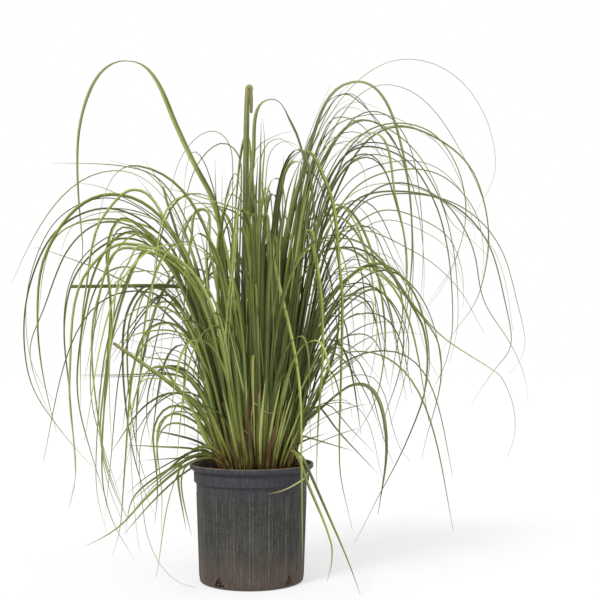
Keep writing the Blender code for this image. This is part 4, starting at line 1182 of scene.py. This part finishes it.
def makeTracedBlades():
    print("traced blades")
    dice = random.Random(tracing["seed"])
    turned = bmesh.new()
    for group in tracedGroups:
        bm = bmesh.new()
        for trace in group["traces"]:
            for copy in range(2 if dice.random() < group["siblings"] else 1):
                pixels = driftedPixels(trace.pixels, dice) if copy else trace.pixels
                width = trace.width * group["widen"]
                width *= dice.uniform(*tracing["siblingWidth"]) if copy else 1.0
                # painted light: the group's tone lift makes its blades paler where they face the light
                tone = trace.tone + group["paintedLightLift"] + (dice.uniform(-0.3, 0.3) if copy else 0.0)
                foot = Vector((crown["x"], crown["y"] + dice.uniform(*group["depth"]), 0.0))
                heading = dice.uniform(*group["headings"])
                rolls = [dice.uniform(*tracing["roll"]) for _ in range(2)]
                points = tracedPoints(pixels, foot, heading, group["tilt"])
                line = wanderingLine(points, foot, heading, 0.0, rolls[0], rolls[1], dice)
                lean = math.tan(math.radians(group["tilt"]))
                for _, place, _, _ in line:
                    place.y -= (place.z - crown["soilTop"]) * lean
                addBlade(bm, line, width, tone, trace.dry, widestAt=group["widestAt"], taper=group["taper"])
                turnedBy = dice.uniform(*tracing["turnedBy"]) * dice.choice((-1.0, 1.0))
                if dice.random() < tracing["turnedShare"] and turnsFreely(points):
                    foot.y = crown["y"]
                    lowest = min(point.y for point in points[len(points) // 3:])
                    if points[-1].x * turnedBy < 0.0 and lowest < tracing["frontLow"]:
                        turnedBy = -turnedBy   # a blade that hangs low goes to the back
                    line = wanderingLine(points, foot, heading + turnedBy, 0.0, 20.0, rolls[1], dice)
                    addBlade(turned, line, width, tone, trace.dry)
        finishBlades(group["name"], bm, group["slot"])
    finishBlades("turned_blades", turned, "leaf_green")


# The dry blade that lies against the pot, from its foot in the soil, over the rim, to its tip
dryBlade = {
    "corners": ((58, -34, 204), (82, -45, 222), (100, -53, 228), (107, -57, 222), (107, -62, 212),
                (102, -72, 203), (91, -85, 197), (74, -99, 189), (56, -109, 183), (35, -117, 180)),
    "width": 4.6, "step": 5.0, "tone": 0.95, "dry": 0.33,
}


def makeDryBlade():
    print("dry blade")
    points = throughCurve([Vector(corner) for corner in dryBlade["corners"]], dryBlade["step"])
    last = len(points) - 1
    line = []
    for index, place in enumerate(points):
        along = (points[min(index + 1, last)] - points[max(index - 1, 0)]).normalized()
        across = along.cross(Vector((place.x, place.y, 0.0))).normalized()
        line.append((index / last, place, across, along.cross(across)))
    bm = bmesh.new()
    addBlade(bm, line, dryBlade["width"], dryBlade["tone"], dryBlade["dry"])
    finishBlades("dry_blade", bm, "leaf_pale")


# Sprigs, dead sheaths and litter

sprigs = {
    "count": 80, "near": 14.0, "far": 62.0, "lean": (8.0, 50.0), "length": (110.0, 330.0),
    "bend": (-12.0, 45.0), "frontLean": 0.35, "width": (3.0, 6.5), "seed": 57,
}
sheaths = {
    "count": 90, "near": 42.0, "far": 72.0, "lean": (-6.0, 16.0), "length": (35.0, 170.0),
    "width": (3.5, 8.0), "dry": (1.0, 1.9), "seed": 61,
}
litter = {
    "count": 70, "near": 58.0, "far": 96.0, "length": (12.0, 46.0), "width": (1.6, 4.0), "seed": 67,
}


def bentLine(foot, heading, lean, bend, length, rolls, dice):
    # A plain blade that leaves its foot at a lean and bends evenly along its length.
    steps = max(4, round(length / 22.0))
    points = [Vector((0.0, foot.z))]
    for step in range(steps):
        angle = math.radians(lean + bend * (step + 0.5) / steps)
        points.append(points[-1] + Vector((math.sin(angle), math.cos(angle))) * (length / steps))
    ground = Vector((foot.x, foot.y, 0.0))
    return wanderingLine(points, ground, heading, 0.0, rolls[0], rolls[1], dice)


def crownSpot(near, far, dice):
    heading = dice.uniform(0.0, 360.0)
    middle = Vector((crown["x"], crown["y"], crown["soilTop"]))
    return heading, middle + turn(heading) * dice.uniform(near, far)


def makeSprigs():
    # Short young blades that cross each other all round the clump.
    print("sprigs")
    dice = random.Random(sprigs["seed"])
    bm = bmesh.new()
    for _ in range(sprigs["count"]):
        heading, spot = crownSpot(sprigs["near"], sprigs["far"], dice)
        heading += dice.uniform(-55.0, 55.0)
        rolls = [dice.uniform(-80.0, 80.0) for _ in range(2)]
        lean = dice.uniform(*sprigs["lean"])
        bend = dice.uniform(*sprigs["bend"])
        if turn(heading).y < -0.2:   # few hang over the front of the pot
            lean *= sprigs["frontLean"]
            bend *= sprigs["frontLean"]
        line = bentLine(spot, heading, lean, bend, dice.uniform(*sprigs["length"]), rolls, dice)
        addBlade(bm, line, dice.uniform(*sprigs["width"]), dice.uniform(0.0, 0.95),
                 dice.choice((0.0, 0.0, 0.1, 0.35)), cuts=2)
    finishBlades("young_sprigs", bm, "leaf_green")


def makeSheaths():
    # Dead brown sheaths round the feet of the stems.
    print("dead sheaths")
    dice = random.Random(sheaths["seed"])
    bm = bmesh.new()
    for _ in range(sheaths["count"]):
        heading, spot = crownSpot(sheaths["near"], sheaths["far"], dice)
        rolls = [dice.uniform(-40.0, 40.0) for _ in range(2)]
        line = bentLine(spot, heading, dice.uniform(*sheaths["lean"]), dice.uniform(0.0, 25.0),
                        dice.uniform(*sheaths["length"]), rolls, dice)
        addBlade(bm, line, dice.uniform(*sheaths["width"]), 0.4, dice.uniform(*sheaths["dry"]), 0.8)
    finishBlades("dead_sheaths", bm, "leaf_green")


def makeLitter():
    # Dry bits of leaf that lie on the soil.
    print("litter")
    dice = random.Random(litter["seed"])
    bm = bmesh.new()
    for _ in range(litter["count"]):
        spot = turn(dice.uniform(0.0, 360.0)) * dice.uniform(litter["near"], litter["far"] - 14.0)
        spot.z = soilHeight(spot.x, spot.y) + dice.uniform(0.5, 3.0)
        length = dice.uniform(*litter["length"])
        heading = dice.uniform(0.0, 360.0)
        if (spot + turn(heading) * length).xy.length > litter["far"]:
            heading = math.degrees(math.atan2(-spot.y, -spot.x))
        line = bentLine(spot, heading, dice.uniform(76.0, 88.0), dice.uniform(0.0, 12.0), length,
                        [dice.uniform(-25.0, 25.0)] * 2, dice)
        addBlade(bm, line, dice.uniform(*litter["width"]), 0.6, dice.uniform(0.9, 1.5), 0.8, cuts=2)
    finishBlades("leaf_litter", bm, "leaf_green")


# Build

makeCamera()
makeStudio()
leafMaterials = {slotName: makeLeafMaterial("pampas_" + slotName, share)
                 for slotName, share in slateShares.items()}
makePot()
makeSoil()
makeChips()
makeLeaves()
makeShoots()
makeTracedBlades()
makeDryBlade()
makeSprigs()
makeSheaths()
makeLitter()
